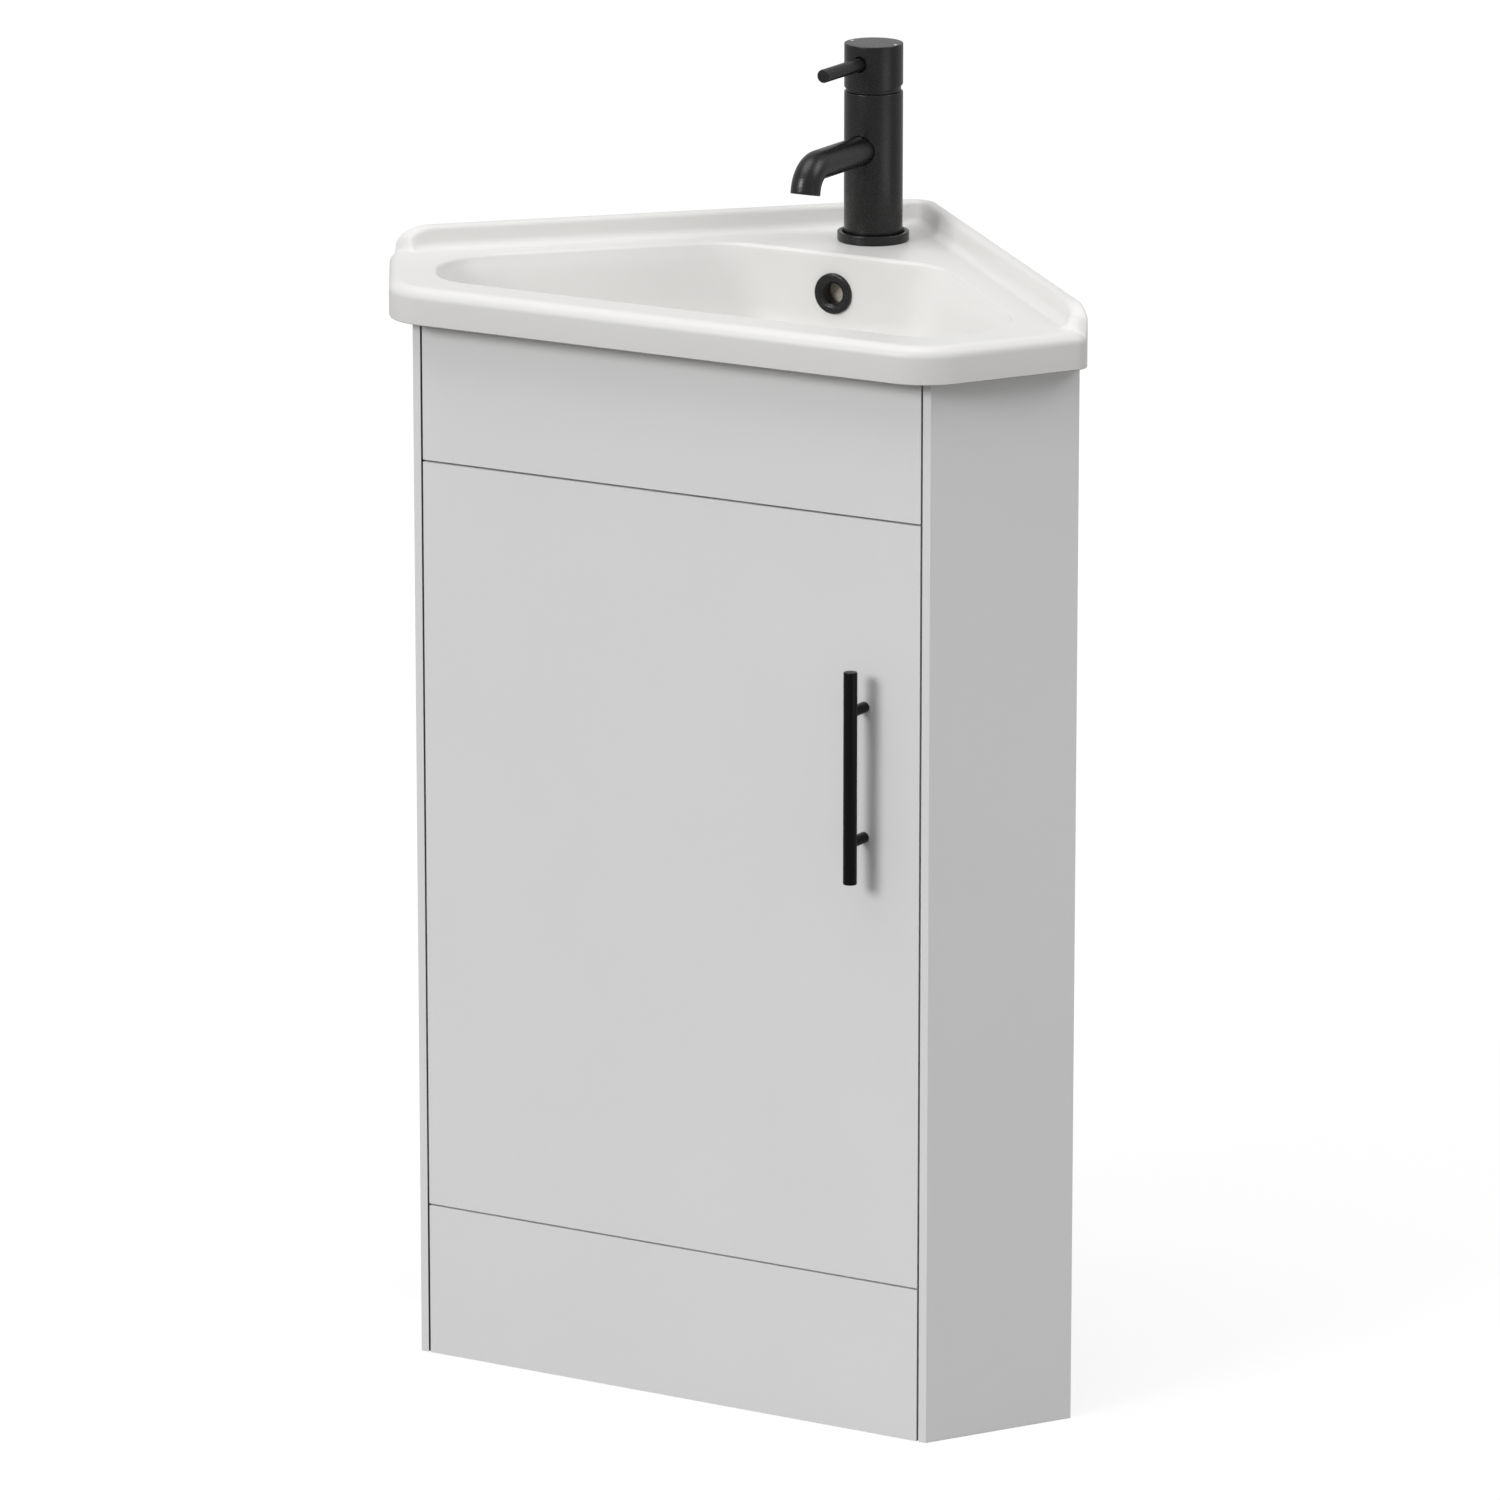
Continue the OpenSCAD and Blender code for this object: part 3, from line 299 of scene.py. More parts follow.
class Finish:
    """A material under construction, with the object's own coordinates at hand."""

    def __init__(self, name, **sockets):
        self.material = bpy.data.materials.new(name)
        self.material.use_nodes = True
        self.tree = self.material.node_tree
        self.shader = self.tree.nodes["Principled BSDF"]
        self.where = add_node(self.tree, "ShaderNodeTexCoord").outputs
        for socket, value in sockets.items():
            self.shader.inputs[socket.replace("_", " ")].default_value = value

    def noise(self, scale, detail=2, roughness=0.5):
        inputs = {"Vector": self.where["Object"], "Scale": scale, "Detail": detail, "Roughness": roughness}
        return add_node(self.tree, "ShaderNodeTexNoise", inputs).outputs["Fac"]

    def stretched(self, scale):
        made = add_node(self.tree, "ShaderNodeMapping", {"Vector": self.where["Object"], "Scale": scale})
        return made.outputs["Vector"]

    def ranged(self, value, low, high, from_low=0.0, from_high=1.0):
        inputs = {"Value": value, "From Min": from_low, "From Max": from_high, "To Min": low, "To Max": high}
        return add_node(self.tree, "ShaderNodeMapRange", inputs).outputs["Result"]

    def blend(self, share, first, second):
        made = add_node(self.tree, "ShaderNodeMix", data_type="RGBA")
        self.tree.links.new(share, made.inputs["Factor"])
        for socket, value in zip([s for s in made.inputs if s.type == "RGBA"], (first, second)):
            if isinstance(value, bpy.types.NodeSocket):
                self.tree.links.new(value, socket)
            else:
                socket.default_value = value
        return [s for s in made.outputs if s.type == "RGBA"][0]

    def bump(self, height, distance, strength, under=None):
        inputs = {"Height": height, "Distance": distance, "Strength": strength}
        if under is not None:
            inputs["Normal"] = under
        return add_node(self.tree, "ShaderNodeBump", inputs).outputs["Normal"]

    def set(self, socket, value):
        self.tree.links.new(value, self.shader.inputs[socket])


def tone(level, warmth=0.0):
    """A grey, a little warm or cool."""
    return (level * (1 + warmth), level, level * (1 - warmth), 1)


def scaled(colour, factor):
    """The colour made lighter or darker."""
    return tuple(min(c * factor, 1) for c in colour[:3]) + (1,)


def drifting(finish, colour, amount, scale):
    """The colour, with a slow change of tone over the surface."""
    share = finish.ranged(finish.noise(scale, 3), 0, 1, 0.3, 0.7)
    return finish.blend(share, scaled(colour, 1 - amount), scaled(colour, 1 + amount))


def satin_paint(name, colour):
    """Sprayed paint on fibreboard: fine orange peel, and a slow drift of tone and sheen."""
    finish = Finish(name, Specular_IOR_Level=0.35)
    peel = finish.noise(1400)
    finish.set("Base Color", drifting(finish, colour, 0.006, 9))
    finish.set("Roughness", finish.ranged(finish.noise(26, 3), 0.44, 0.5))
    finish.set("Normal", finish.bump(peel, 0.02 * MM, 0.6))
    return finish.material


def glaze(name, colour):
    """Fired glaze over clay: a faint waviness, and a soft reflection."""
    finish = Finish(name, Specular_IOR_Level=0.24)
    wave = finish.noise(38)
    fine = finish.noise(700)
    finish.set("Base Color", drifting(finish, colour, 0.005, 14))
    finish.set("Roughness", finish.ranged(finish.noise(60, 3), 0.32, 0.36))
    waved = finish.bump(wave, 0.12 * MM, 0.35)
    finish.set("Normal", finish.bump(fine, 0.008 * MM, 0.4, waved))
    return finish.material


def raw_clay(name, colour):
    """Unglazed fired clay: rough, speckled and a little beige."""
    finish = Finish(name, Specular_IOR_Level=0.2, Roughness=0.85)
    grain = finish.noise(900, 4, 0.65)
    share = finish.ranged(grain, 0, 1, 0.42, 0.62)
    finish.set("Base Color", finish.blend(share, scaled(colour, 0.62), colour))
    finish.set("Normal", finish.bump(grain, 0.12 * MM, 0.6))
    return finish.material


def satin_black(name, level, roughness, specular, grain):
    """Fine textured black coating: a speckle in its sheen and its surface."""
    finish = Finish(name, Specular_IOR_Level=specular)
    speckle = finish.noise(1300, 3, 0.65)
    share = finish.ranged(speckle, 0, 1, 0.38, 0.66)
    finish.set("Base Color", finish.blend(share, tone(level * 0.75), tone(level * 1.35, 0.02)))
    finish.set("Roughness", finish.ranged(speckle, roughness - 0.06, roughness + 0.06, 0.3, 0.7))
    finish.set("Normal", finish.bump(speckle, grain * MM, 0.5))
    return finish.material


def cast_metal(name, level, roughness):
    """Plated die casting or steel: soft flow marks and a fine grain."""
    finish = Finish(name, Metallic=1.0)
    flow = finish.noise(120, 4, 0.6)
    fine = finish.noise(1500)
    finish.set("Base Color", drifting(finish, tone(level, -0.01), 0.05, 40))
    finish.set("Roughness", finish.ranged(flow, roughness - 0.06, roughness + 0.08, 0.3, 0.7))
    finish.set("Normal", finish.bump(fine, 0.01 * MM, 0.5))
    return finish.material


def moulded(name, level, roughness, warmth=0.0):
    """Moulded plastic or rubber: a slight mould texture."""
    finish = Finish(name, Specular_IOR_Level=0.4)
    grain = finish.noise(1100)
    finish.set("Base Color", drifting(finish, tone(level, warmth), 0.03, 60))
    finish.set("Roughness", finish.ranged(grain, roughness - 0.04, roughness + 0.04, 0.3, 0.7))
    finish.set("Normal", finish.bump(grain, 0.02 * MM, 0.5))
    return finish.material


CHIP_BROWN = (0.42, 0.31, 0.19, 1)
CHIP_PALE = (0.62, 0.50, 0.35, 1)
CHIP_GAP = (0.33, 0.24, 0.15, 1)
FACING_GREY = tone(0.62, 0.004)


def facing_share(finish, directions):
    """1 where the surface looks along one of the directions or against it, and 0 elsewhere."""
    shares = []
    for direction in directions:
        inputs = {0: finish.where["Normal"], 1: direction}
        dot = add_node(finish.tree, "ShaderNodeVectorMath", inputs, operation="DOT_PRODUCT")
        size = calculate(finish.tree, "ABSOLUTE", dot.outputs["Value"])
        shares.append(calculate(finish.tree, "GREATER_THAN", size, 0.9))
    most = shares[0]
    for share in shares[1:]:
        most = calculate(finish.tree, "MAXIMUM", most, share)
    return most


def faced_board(name, *facings):
    """Melamine faced chipboard: smooth and grey where it looks along a facing, raw chips on its edges."""
    finish = Finish(name, Specular_IOR_Level=0.35)
    inputs = {"Vector": finish.stretched((1, 1, 2.2)), "Scale": 420.0, "Randomness": 1.0}
    chips = add_node(finish.tree, "ShaderNodeTexVoronoi", inputs)
    fibre = finish.noise(1600, 4, 0.7)
    chip_tone = finish.blend(finish.ranged(chips.outputs["Color"], 0, 1), CHIP_BROWN, CHIP_PALE)
    rough_tone = finish.blend(finish.ranged(fibre, 0, 1, 0.35, 0.7), CHIP_GAP, chip_tone)
    face_tone = drifting(finish, FACING_GREY, 0.008, 30)
    on_face = facing_share(finish, facings)
    finish.set("Base Color", finish.blend(on_face, rough_tone, face_tone))
    finish.set("Roughness", finish.ranged(on_face, 0.9, 0.42))
    on_edge = calculate(finish.tree, "SUBTRACT", 1.0, on_face)
    height = calculate(finish.tree, "MULTIPLY", fibre, on_edge)
    finish.set("Normal", finish.bump(height, 0.25 * MM, 0.7))
    return finish.material


PAINT = satin_paint("panel_paint", tone(0.742))
GLAZE = glaze("white_glaze", (0.712, 0.706, 0.694, 1))
CLAY = raw_clay("raw_clay", (0.62, 0.58, 0.51, 1))
BRASS_BLACK = satin_black("black_tap_coating", level=0.005, roughness=0.27, specular=0.42, grain=0.2)
STEEL_BLACK = satin_black("black_handle_coating", level=0.003, roughness=0.3, specular=0.12, grain=0.05)
ZINC = cast_metal("plated_zinc", level=0.62, roughness=0.3)
STEEL = cast_metal("plated_steel", level=0.6, roughness=0.26)
PLASTIC = moulded("pale_plastic", level=0.72, roughness=0.4, warmth=0.01)
RUBBER = moulded("black_rubber", level=0.02, roughness=0.6)
MARK = moulded("pale_mark", level=0.75, roughness=0.3)


def brass_piece(name, shape, body, replaced):
    """A black coated brass piece from its points and faces, in place of one CAD node."""
    return new_piece(name, *shape, body, "black_brass", BRASS_BLACK, [replaced])


# ---- Boards and fittings from the frame ----

WELD_REACH = 0.002
EASED_ANGLE = 30
EASE_STEPS = 3
PANEL_EASE = 0.5
BOARD_EASE = 0.4

# Material, bevel in millimetres and nodes
FITTINGS = (
    (ZINC, 0.25, (
        "cam_locks", "upper_hinge_plate", "lower_hinge_plate", "upper_hinge_arm", "lower_hinge_arm",
        "upper_hinge_cup", "lower_hinge_cup", "aerator", "cartridge_nut", "clamp_plate",
        "cartridge_spindle")),
    (STEEL, 0.12, (
        "plate_screws", "arm_screws", "tap_stud", "stud_nut", "handle_screws", "hinge_pins", "cup_screws",
        "grub_screw", "tilt_pin")),
    (PLASTIC, 0.25, (
        "corner_blocks", "door_bumpers", "waste_washer", "waste_cartridge", "tap_cartridge",
        "cartridge_rotor")),
    (RUBBER, 0.2, ("waste_seal", "tap_seal", "clamp_washer", "plug_seal")),
    (MARK, 0.08, ("hot_mark", "cold_mark")),
)


def dress(name, material, bevel):
    """Gives a node of the frame its material, and eases its sharp edges by a bevel in millimetres."""
    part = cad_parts[name]
    part.data.materials.clear()
    part.data.materials.append(material)
    weld = part.modifiers.new("weld", "WELD")
    weld.merge_threshold = WELD_REACH * MM
    ease = part.modifiers.new("ease", "BEVEL")
    ease.width = bevel * MM
    ease.segments = EASE_STEPS
    ease.limit_method = "ANGLE"
    ease.angle_limit = math.radians(EASED_ANGLE)
    ease.use_clamp_overlap = True
    shade = part.modifiers.new("shade", "WEIGHTED_NORMAL")
    shade.keep_sharp = False
    part.data.polygons.foreach_set("use_smooth", [True] * len(part.data.polygons))


def dress_cabinet():
    """Paint on the panels that show, and facings on the boards behind them."""
    for name in ("left_end_panel", "right_end_panel", "plinth_board", "front_fascia", "door_panel"):
        dress(name, PAINT, PANEL_EASE)
    up = (0, 0, 1)
    back = (0, 1, 0)
    side = (math.cos(FLARE), -math.sin(FLARE), 0)
    other_side = (-side[0], side[1], 0)
    wall = (math.sqrt(0.5), math.sqrt(0.5), 0)
    other_wall = (-wall[0], wall[1], 0)
    boards = {
        "left_gable": (other_side,), "right_gable": (side,),
        "base_panel": (up,), "plinth_rail": (back,), "front_rail": (back,),
        "left_top_rail": (other_wall,), "left_low_rail": (other_wall,),
        "right_top_rail": (wall,), "right_low_rail": (wall,),
        "corner_post": (wall, other_wall),
    }
    for name, facings in boards.items():
        dress(name, faced_board(name + "_board", *facings), BOARD_EASE)


def dress_fittings():
    for material, bevel, names in FITTINGS:
        for name in names:
            dress(name, material, bevel)


# ---- Basin ----


def even_shares(count):
    """Shares from 0 to 1 at even steps."""
    return [k / (count - 1) for k in range(count)]


# Points on each half of an outline: front corner, side line, tip with the start of the wall, wall line, back
FRONT_SHARES = even_shares(14)
TIP_SHARES = [0, 0.1, 0.2, 0.3, 0.38, 0.43, 0.46, 0.49, 0.52] + [0.55 + 0.045 * k for k in range(11)]
WALL_STEPS = [0.8, 1.7, 2.7, 3.8, 5, 6.3, 7.7, 9.2, 10.8, 12.5, 14.3, 16.2, 18.2, 20.4, 23]
BACK_ARC = 10
BACK_LINE = 3
LINE = 10
TIP_R = 13
FRONT_CORNER_R = 47
FRONT_CORNER_LEAST_R = 20
BACK_CORNER_R = 20
BACK_CORNER_LEAST_R = 10
SIDE_N = (math.cos(FLARE), -math.sin(FLARE))
WALL_N = (math.sqrt(0.5), math.sqrt(0.5))


def meet(a, b):
    """Where two lines of (normal x, normal y, distance) cross."""
    det = a[0] * b[1] - a[1] * b[0]
    return ((a[2] * b[1] - a[1] * b[2]) / det, (a[0] * b[2] - a[2] * b[0]) / det)


def corner_arc(a, b, radius, shares):
    """Points of the arc that rounds the corner from line a to line b, at shares of its turn."""
    x, y = meet((a[0], a[1], a[2] - radius), (b[0], b[1], b[2] - radius))
    start = math.atan2(a[1], a[0])
    turn = (math.atan2(b[1], b[0]) - start) % (2 * math.pi)
    angles = [start + turn * t for t in shares]
    return [(x + radius * math.cos(angle), y + radius * math.sin(angle)) for angle in angles]


def between(p, q, count):
    """Points on the straight line between two points, without its ends."""
    return [mix_point(p, q, (k + 1) / (count + 1)) for k in range(count)]


def both_halves(*stretches):
    """The whole outline from the stretches of its right half, in order from the front to the back."""
    right = [p for stretch in stretches for p in stretch]
    return right + [(-x, y) for x, y in reversed(right)]


def rim_outline(inward):
    """Outline of the rim, moved inward."""
    front = (0, -1, RIM_FRONT - inward)
    side = (*SIDE_N, HALF_W * math.cos(FLARE) + RIM_SIDE - inward)
    reach = WALL_SUM * math.sqrt(0.5) - inward
    wall = (*WALL_N, reach)
    other_wall = (-WALL_N[0], WALL_N[1], reach)
    front_arc = corner_arc(front, side, max(FRONT_CORNER_R - inward, FRONT_CORNER_LEAST_R), FRONT_SHARES)
    tip = corner_arc(side, wall, TIP_R, TIP_SHARES)
    tip += [(tip[-1][0] - step * WALL_N[0], tip[-1][1] + step * WALL_N[1]) for step in WALL_STEPS]
    count = BACK_ARC + BACK_LINE
    half_shares = even_shares(2 * count)[:count]
    back_arc = corner_arc(wall, other_wall, max(BACK_CORNER_R - inward, BACK_CORNER_LEAST_R), half_shares)
    side_line = between(front_arc[-1], tip[0], LINE)
    wall_line = between(tip[-1], back_arc[0], LINE)
    return both_halves(front_arc, side_line, tip, wall_line, back_arc)


def bowl_outline(front_y, side_x, diagonal, back_y, front_r, side_r, back_r):
    """Outline of the bowl at one height, with as many points as the rim's."""
    front = (0, -1, -front_y)
    back = (0, 1, back_y)
    side = (*SIDE_N, side_x * math.cos(FLARE))
    slant = (*WALL_N, diagonal * math.sqrt(0.5))
    front_arc = corner_arc(front, side, front_r, FRONT_SHARES)
    side_arc = corner_arc(side, slant, side_r, even_shares(len(TIP_SHARES) + len(WALL_STEPS)))
    back_arc = corner_arc(slant, back, back_r, even_shares(BACK_ARC))
    end_x, end_y = back_arc[-1]
    back_line = [(end_x * (1 - 2 * (k + 1) / (2 * BACK_LINE + 1)), end_y) for k in range(BACK_LINE)]
    side_line = between(front_arc[-1], side_arc[0], LINE)
    slant_line = between(side_arc[-1], back_arc[0], LINE)
    return both_halves(front_arc, side_line, side_arc, slant_line, back_arc, back_line)


# The wall edge starts at a share of the tip's arc and reaches its height over a length
RISE_START = 0.45
RISE_L = 26
RISE_BLEND_L = 4
TIP_L = TIP_R * (FLARE + math.pi / 4)


def rise(length):
    """Share of the wall edge's height, at a length from where it starts."""
    return math.sqrt(1 - (1 - min(length / RISE_L, 1)) ** 2) * smooth(min(length / RISE_BLEND_L, 1))


RIGHT_SHARE = (
    [0.0] * (len(FRONT_SHARES) + LINE)
    + [rise(max(t - RISE_START, 0) * TIP_L) for t in TIP_SHARES]
    + [rise((1 - RISE_START) * TIP_L + step) for step in WALL_STEPS]
    + [1.0] * (LINE + BACK_ARC + BACK_LINE)
)
UPSTAND_SHARE = RIGHT_SHARE + RIGHT_SHARE[::-1]

# Sections of the rim, as (distance inward, height, corner radius)
SECTION_STEPS = 12
SECTION_END = 19
FOOT_EASE = 0.3
FOOT_RISE = 0.5
FOOT_R = 0.6
FRONT_EDGE_R = 9
WALL_EDGE_R = 3
EDGE_END = 0.5
INNER_POINTS = 36


def outer_section(top_z, edge_r):
    """The rim's outer face, from its eased foot up to the end of the upper edge's rounding."""
    foot = [(FOOT_EASE, CAB_H), (0, CAB_H + FOOT_RISE, FOOT_R)]
    return rounded(foot + [(0, top_z, edge_r), (edge_r + EDGE_END, top_z)], SECTION_STEPS)


# The inner halves go on from the outer ones to the deck
FRONT_OUTER = outer_section(DECK_Z, FRONT_EDGE_R)
FRONT_INNER = [FRONT_OUTER[-1], (SECTION_END, DECK_Z)]
WALL_OUTER = outer_section(UPSTAND_Z, WALL_EDGE_R)
WALL_INNER = rounded(
    [WALL_OUTER[-1], (9.4, UPSTAND_Z, 4.2), (12.2, DECK_Z, 7), (SECTION_END, DECK_Z)], SECTION_STEPS)


def resampled(points, count):
    """The same line with a given count of points at even steps."""
    lengths = [0.0]
    for p, q in zip(points, points[1:]):
        lengths.append(lengths[-1] + math.dist(p, q))
    result = []
    k = 0
    for i in range(count):
        want = lengths[-1] * i / (count - 1)
        while k < len(points) - 2 and lengths[k + 1] < want:
            k += 1
        span = lengths[k + 1] - lengths[k]
        result.append(mix_point(points[k], points[k + 1], (want - lengths[k]) / span if span else 0))
    return result


def rim_rings():
    """The rim's outer face, its top and the wall edges, from the foot to the deck."""
    front = FRONT_OUTER[:-1] + resampled(FRONT_INNER, INNER_POINTS)
    wall = WALL_OUTER[:-1] + resampled(WALL_INNER, INNER_POINTS)
    rings = []
    for (front_in, front_z), (wall_in, wall_z) in zip(front, wall):
        low, high = rim_outline(front_in), rim_outline(wall_in)
        rings.append([
            (*mix_point(p, q, share), mix(front_z, wall_z, share))
            for p, q, share in zip(low, high, UPSTAND_SHARE)
        ])
    return rings


# The bowl from the deck down: height, front, side, diagonal, back, and radii at the front, sides and back
BOWL_EDGE = (DECK_Z, 12, 196.2, 333, 243.4, 48, 60, 60)
BOWL_LEVELS = [
    (DECK_Z - 2.2, 15.2, 192.4, 328.5, 240.2, 44.8, 56.8, 56.8),
    (DECK_Z - 5, 16.8, 190.4, 326.8, 240, 44.5, 56, 56),
    (DECK_Z - 11, 21.4, 185.4, 323.2, 240, 44, 55, 54),
    (DECK_Z - 24, 31, 174, 317.5, 240, 44, 52, 49),
    (DECK_Z - 46, 45, 153, 309, 240, 40, 46, 43),
    (DECK_Z - 70, 58, 119, 295, 234, 43, 43, 38),
    (DECK_Z - 92, 68, 84, 276, 222, 45, 38, 36),
    (DECK_Z - 105, 77, 59, 256, 206, 42, 34, 34),
    (FLOOR_Z, 86, 39, 238, 190, 36, 28, 30),
]
BOWL_STEPS = 6
BOWL_MARGIN = 1.5
BOWL_EDGE_R = 3.4
BOWL_EDGE_TURN = 60
BOWL_EDGE_STEPS = 6
FLOOR_SHARES = (0.1, 0.35, 0.7)

# The underside follows the bowl from this level down, lower by these drops
UNDER_FROM = 4
UNDER_DROPS = [5, 5, 9, FLOOR_THICK, FLOOR_THICK]
UNDER_STEPS = 4
RECESS_IN = 23
SEAT_IN = 20


def set_out(level, outward, drop=0.0):
    """A level of the bowl with its outline moved outward and down."""
    height, front_y, side_x, diagonal, back_y, *radii = level
    return (
        height - drop, front_y - outward, side_x + outward / math.cos(FLARE),
        diagonal + outward * math.sqrt(2), back_y + outward, *(r + outward for r in radii),
    )


def level_ring(level):
    """Points of the bowl at one of its levels."""
    return [(x, y, level[0]) for x, y in bowl_outline(*level[1:])]


def flowing(levels, steps):
    """Levels on smooth curves through the given ones, which never swing past them."""
    count = len(levels)
    reach = [0.0]
    for p, q in zip(levels, levels[1:]):
        reach.append(reach[-1] + math.hypot(p[0] - q[0], p[1] - q[1], p[2] - q[2]))
    slopes = []
    for values in zip(*levels):
        rates = [(values[i + 1] - values[i]) / (reach[i + 1] - reach[i]) for i in range(count - 1)]
        slope = [rates[0]]
        for i in range(1, count - 1):
            same_way = rates[i - 1] * rates[i] > 0
            slope.append(2 / (1 / rates[i - 1] + 1 / rates[i]) if same_way else 0.0)
        slopes.append(slope + [rates[-1]])
    result = []
    for i in range(count - 1):
        span = reach[i + 1] - reach[i]
        for k in range(steps):
            t = k / steps
            start = 2 * t ** 3 - 3 * t * t + 1
            lean = (t ** 3 - 2 * t * t + t) * span
            end = 1 - start
            end_lean = (t ** 3 - t * t) * span
            result.append(tuple(
                start * levels[i][j] + lean * slopes[j][i]
                + end * levels[i + 1][j] + end_lean * slopes[j][i + 1]
                for j in range(len(levels[0]))
            ))
    return result + [levels[-1]]


def bowl_rings():
    """A margin of deck, the bowl's rounded edge, its wall and its floor."""
    levels = [set_out(BOWL_EDGE, BOWL_MARGIN)]
    for k in range(BOWL_EDGE_STEPS + 1):
        angle = math.radians(BOWL_EDGE_TURN * k / BOWL_EDGE_STEPS)
        inward = BOWL_EDGE_R * math.sin(angle)
        drop = BOWL_EDGE_R * (1 - math.cos(angle))
        levels.append(set_out(BOWL_EDGE, -inward, drop))
    rings = [level_ring(level) for level in levels + flowing(BOWL_LEVELS, BOWL_STEPS)]
    middle = (0, WASTE_Y, FLOOR_Z)
    return rings + [[mix_point(p, middle, share) for p in rings[-1]] for share in FLOOR_SHARES]


def under_rings():
    """The underside of the bowl, then the recessed flat under the deck, out to the rim's foot."""
    bowl = [set_out(level, BOWL_WALL, drop) for level, drop in zip(BOWL_LEVELS[UNDER_FROM:], UNDER_DROPS)]
    heights = [mix(CAB_H, DECK_UNDER_Z, share) for share in UPSTAND_SHARE]
    shoulder_level = level_ring(set_out(BOWL_LEVELS[UNDER_FROM - 1], BOWL_WALL))
    shoulder = [(x, y, z) for (x, y, _), z in zip(shoulder_level, heights)]
    recess = [(x, y, z) for (x, y), z in zip(rim_outline(RECESS_IN), heights)]
    seat = [(x, y, CAB_H) for x, y in rim_outline(SEAT_IN)]
    return [level_ring(level) for level in reversed(flowing(bowl, UNDER_STEPS))] + [shoulder, recess, seat]


# The basin's materials, and the place of each in their list
BASIN_MATERIALS = [GLAZE, CLAY]
GLAZED = 0
BARE = 1

HOUSING_LOW_Z = FLOOR_Z + 34
HOUSING_HALF_W = 24
HOUSING_BACK_HALF_W = 17
HOUSING_DEPTH = 17
HOUSING_R = 3


def overflow_housing():
    """The casing behind the bowl that the overflow drains into."""
    outline = rounded([
        (-HOUSING_BACK_HALF_W, HOUSING_DEPTH), (-HOUSING_HALF_W, 0, HOUSING_R),
        (HOUSING_HALF_W, 0, HOUSING_R), (HOUSING_BACK_HALF_W, HOUSING_DEPTH, HOUSING_R),
        (-HOUSING_BACK_HALF_W, HOUSING_DEPTH),
    ], 4)
    start_y = OVERFLOW_Y + 5
    points = [(x, start_y + y, z) for z in (HOUSING_LOW_Z, DECK_UNDER_Z + PAST) for x, y in outline]
    count = len(outline)
    faces = [(k, (k + 1) % count, count + (k + 1) % count, count + k) for k in range(count)]
    faces += [list(range(count)), list(range(count, 2 * count))]
    return scratch_object("housing", points, faces, BASIN_MATERIALS, BARE)


def waste_boss():
    """The thickening of the bowl's floor round the waste."""
    profile = [(WASTE_BOSS_R, -WASTE_BOSS_HALF), (WASTE_BOSS_R, WASTE_BOSS_HALF)]
    return scratch_object("boss", *lathe(profile, upright(WASTE_Y, FLOOR_UNDER_Z)), BASIN_MATERIALS, BARE)


def basin_cutters():
    """Holes for the tap, for the waste and its flange, and for the overflow."""
    floor_top = FLOOR_Z + PAST
    recess_low = FLOOR_Z - WASTE_RECESS_DEPTH
    return [
        upright_cutter(TAP_HOLE_R, TAP_Y, DECK_UNDER_Z - 12, DECK_Z + PAST, BASIN_MATERIALS, BARE),
        upright_cutter(WASTE_HOLE_R, WASTE_Y, FLOOR_UNDER_Z - 5, floor_top, BASIN_MATERIALS, BARE),
        upright_cutter(WASTE_RECESS_R, WASTE_Y, recess_low, floor_top, BASIN_MATERIALS, GLAZED),
        tube_cutter(OVERFLOW_HOLE_R, toward_back(0, OVERFLOW_Y - 5, OVERFLOW_Z), 16, BASIN_MATERIALS, BARE),
    ]


def make_basin():
    """The ceramic basin, with bare clay on its foot and under its floor."""
    points, faces = stack(under_rings() + rim_rings() + bowl_rings())
    piece = new_piece("basin_ceramic", points, faces, "cabinet", "ceramic", GLAZE, ["basin"])
    piece.data.materials.append(CLAY)
    foot_z = CAB_H * MM + 0.0002
    floor_z = FLOOR_Z * MM - 0.001
    for face in piece.data.polygons:
        if face.normal.z < -0.2 and face.center.z < foot_z or face.center.z < floor_z:
            face.material_index = BARE
    combine(piece, [overflow_housing(), waste_boss()], "UNION")
    combine(piece, basin_cutters(), "DIFFERENCE")
    close_and_shade(piece.data, 32)


def make_overflow_ring():
    """The trim in the overflow's mouth, with a rounded flange."""
    bore_r = 8
    tube_r = 10.9
    tube_depth = 9
    flange_r = 15.25
    flange_out = -2.8
    profile = rounded([
        (bore_r, tube_depth), (tube_r, tube_depth), (tube_r, 0), (flange_r, 0), (flange_r, flange_out, 1.5),
        (10.2, flange_out, 1.6), (bore_r, -0.9, 1.2), (bore_r, tube_depth),
    ])[:-1]
    shape = lathe(profile, toward_back(0, OVERFLOW_Y, OVERFLOW_Z), ring=True)
    brass_piece("overflow_trim", shape, "cabinet", "overflow_ring")


# ---- Waste ----

WASTE_TAIL_R = 20.95
WASTE_BORE_R = 17.5
WASTE_TAIL_Z = 606
WASTE_NECK_Z = FLOOR_UNDER_Z - 27
WASTE_NECK_R = 20.2
WASTE_NECK_H = 6
WASTE_FLANGE_R = 32.5
WASTE_FLANGE_Z = FLOOR_Z - WASTE_RECESS_DEPTH
PLUG_SEAT_R = 23
PLUG_SEAT_Z = FLOOR_Z - 1.2
THREAD_PITCH = 2.3
THREAD_DEPTH = 1.2
SLOT_ANGLES = (45, 135)
SLOT_REACH = 23
SLOT_HALF_W = 4
SLOT_H = 8


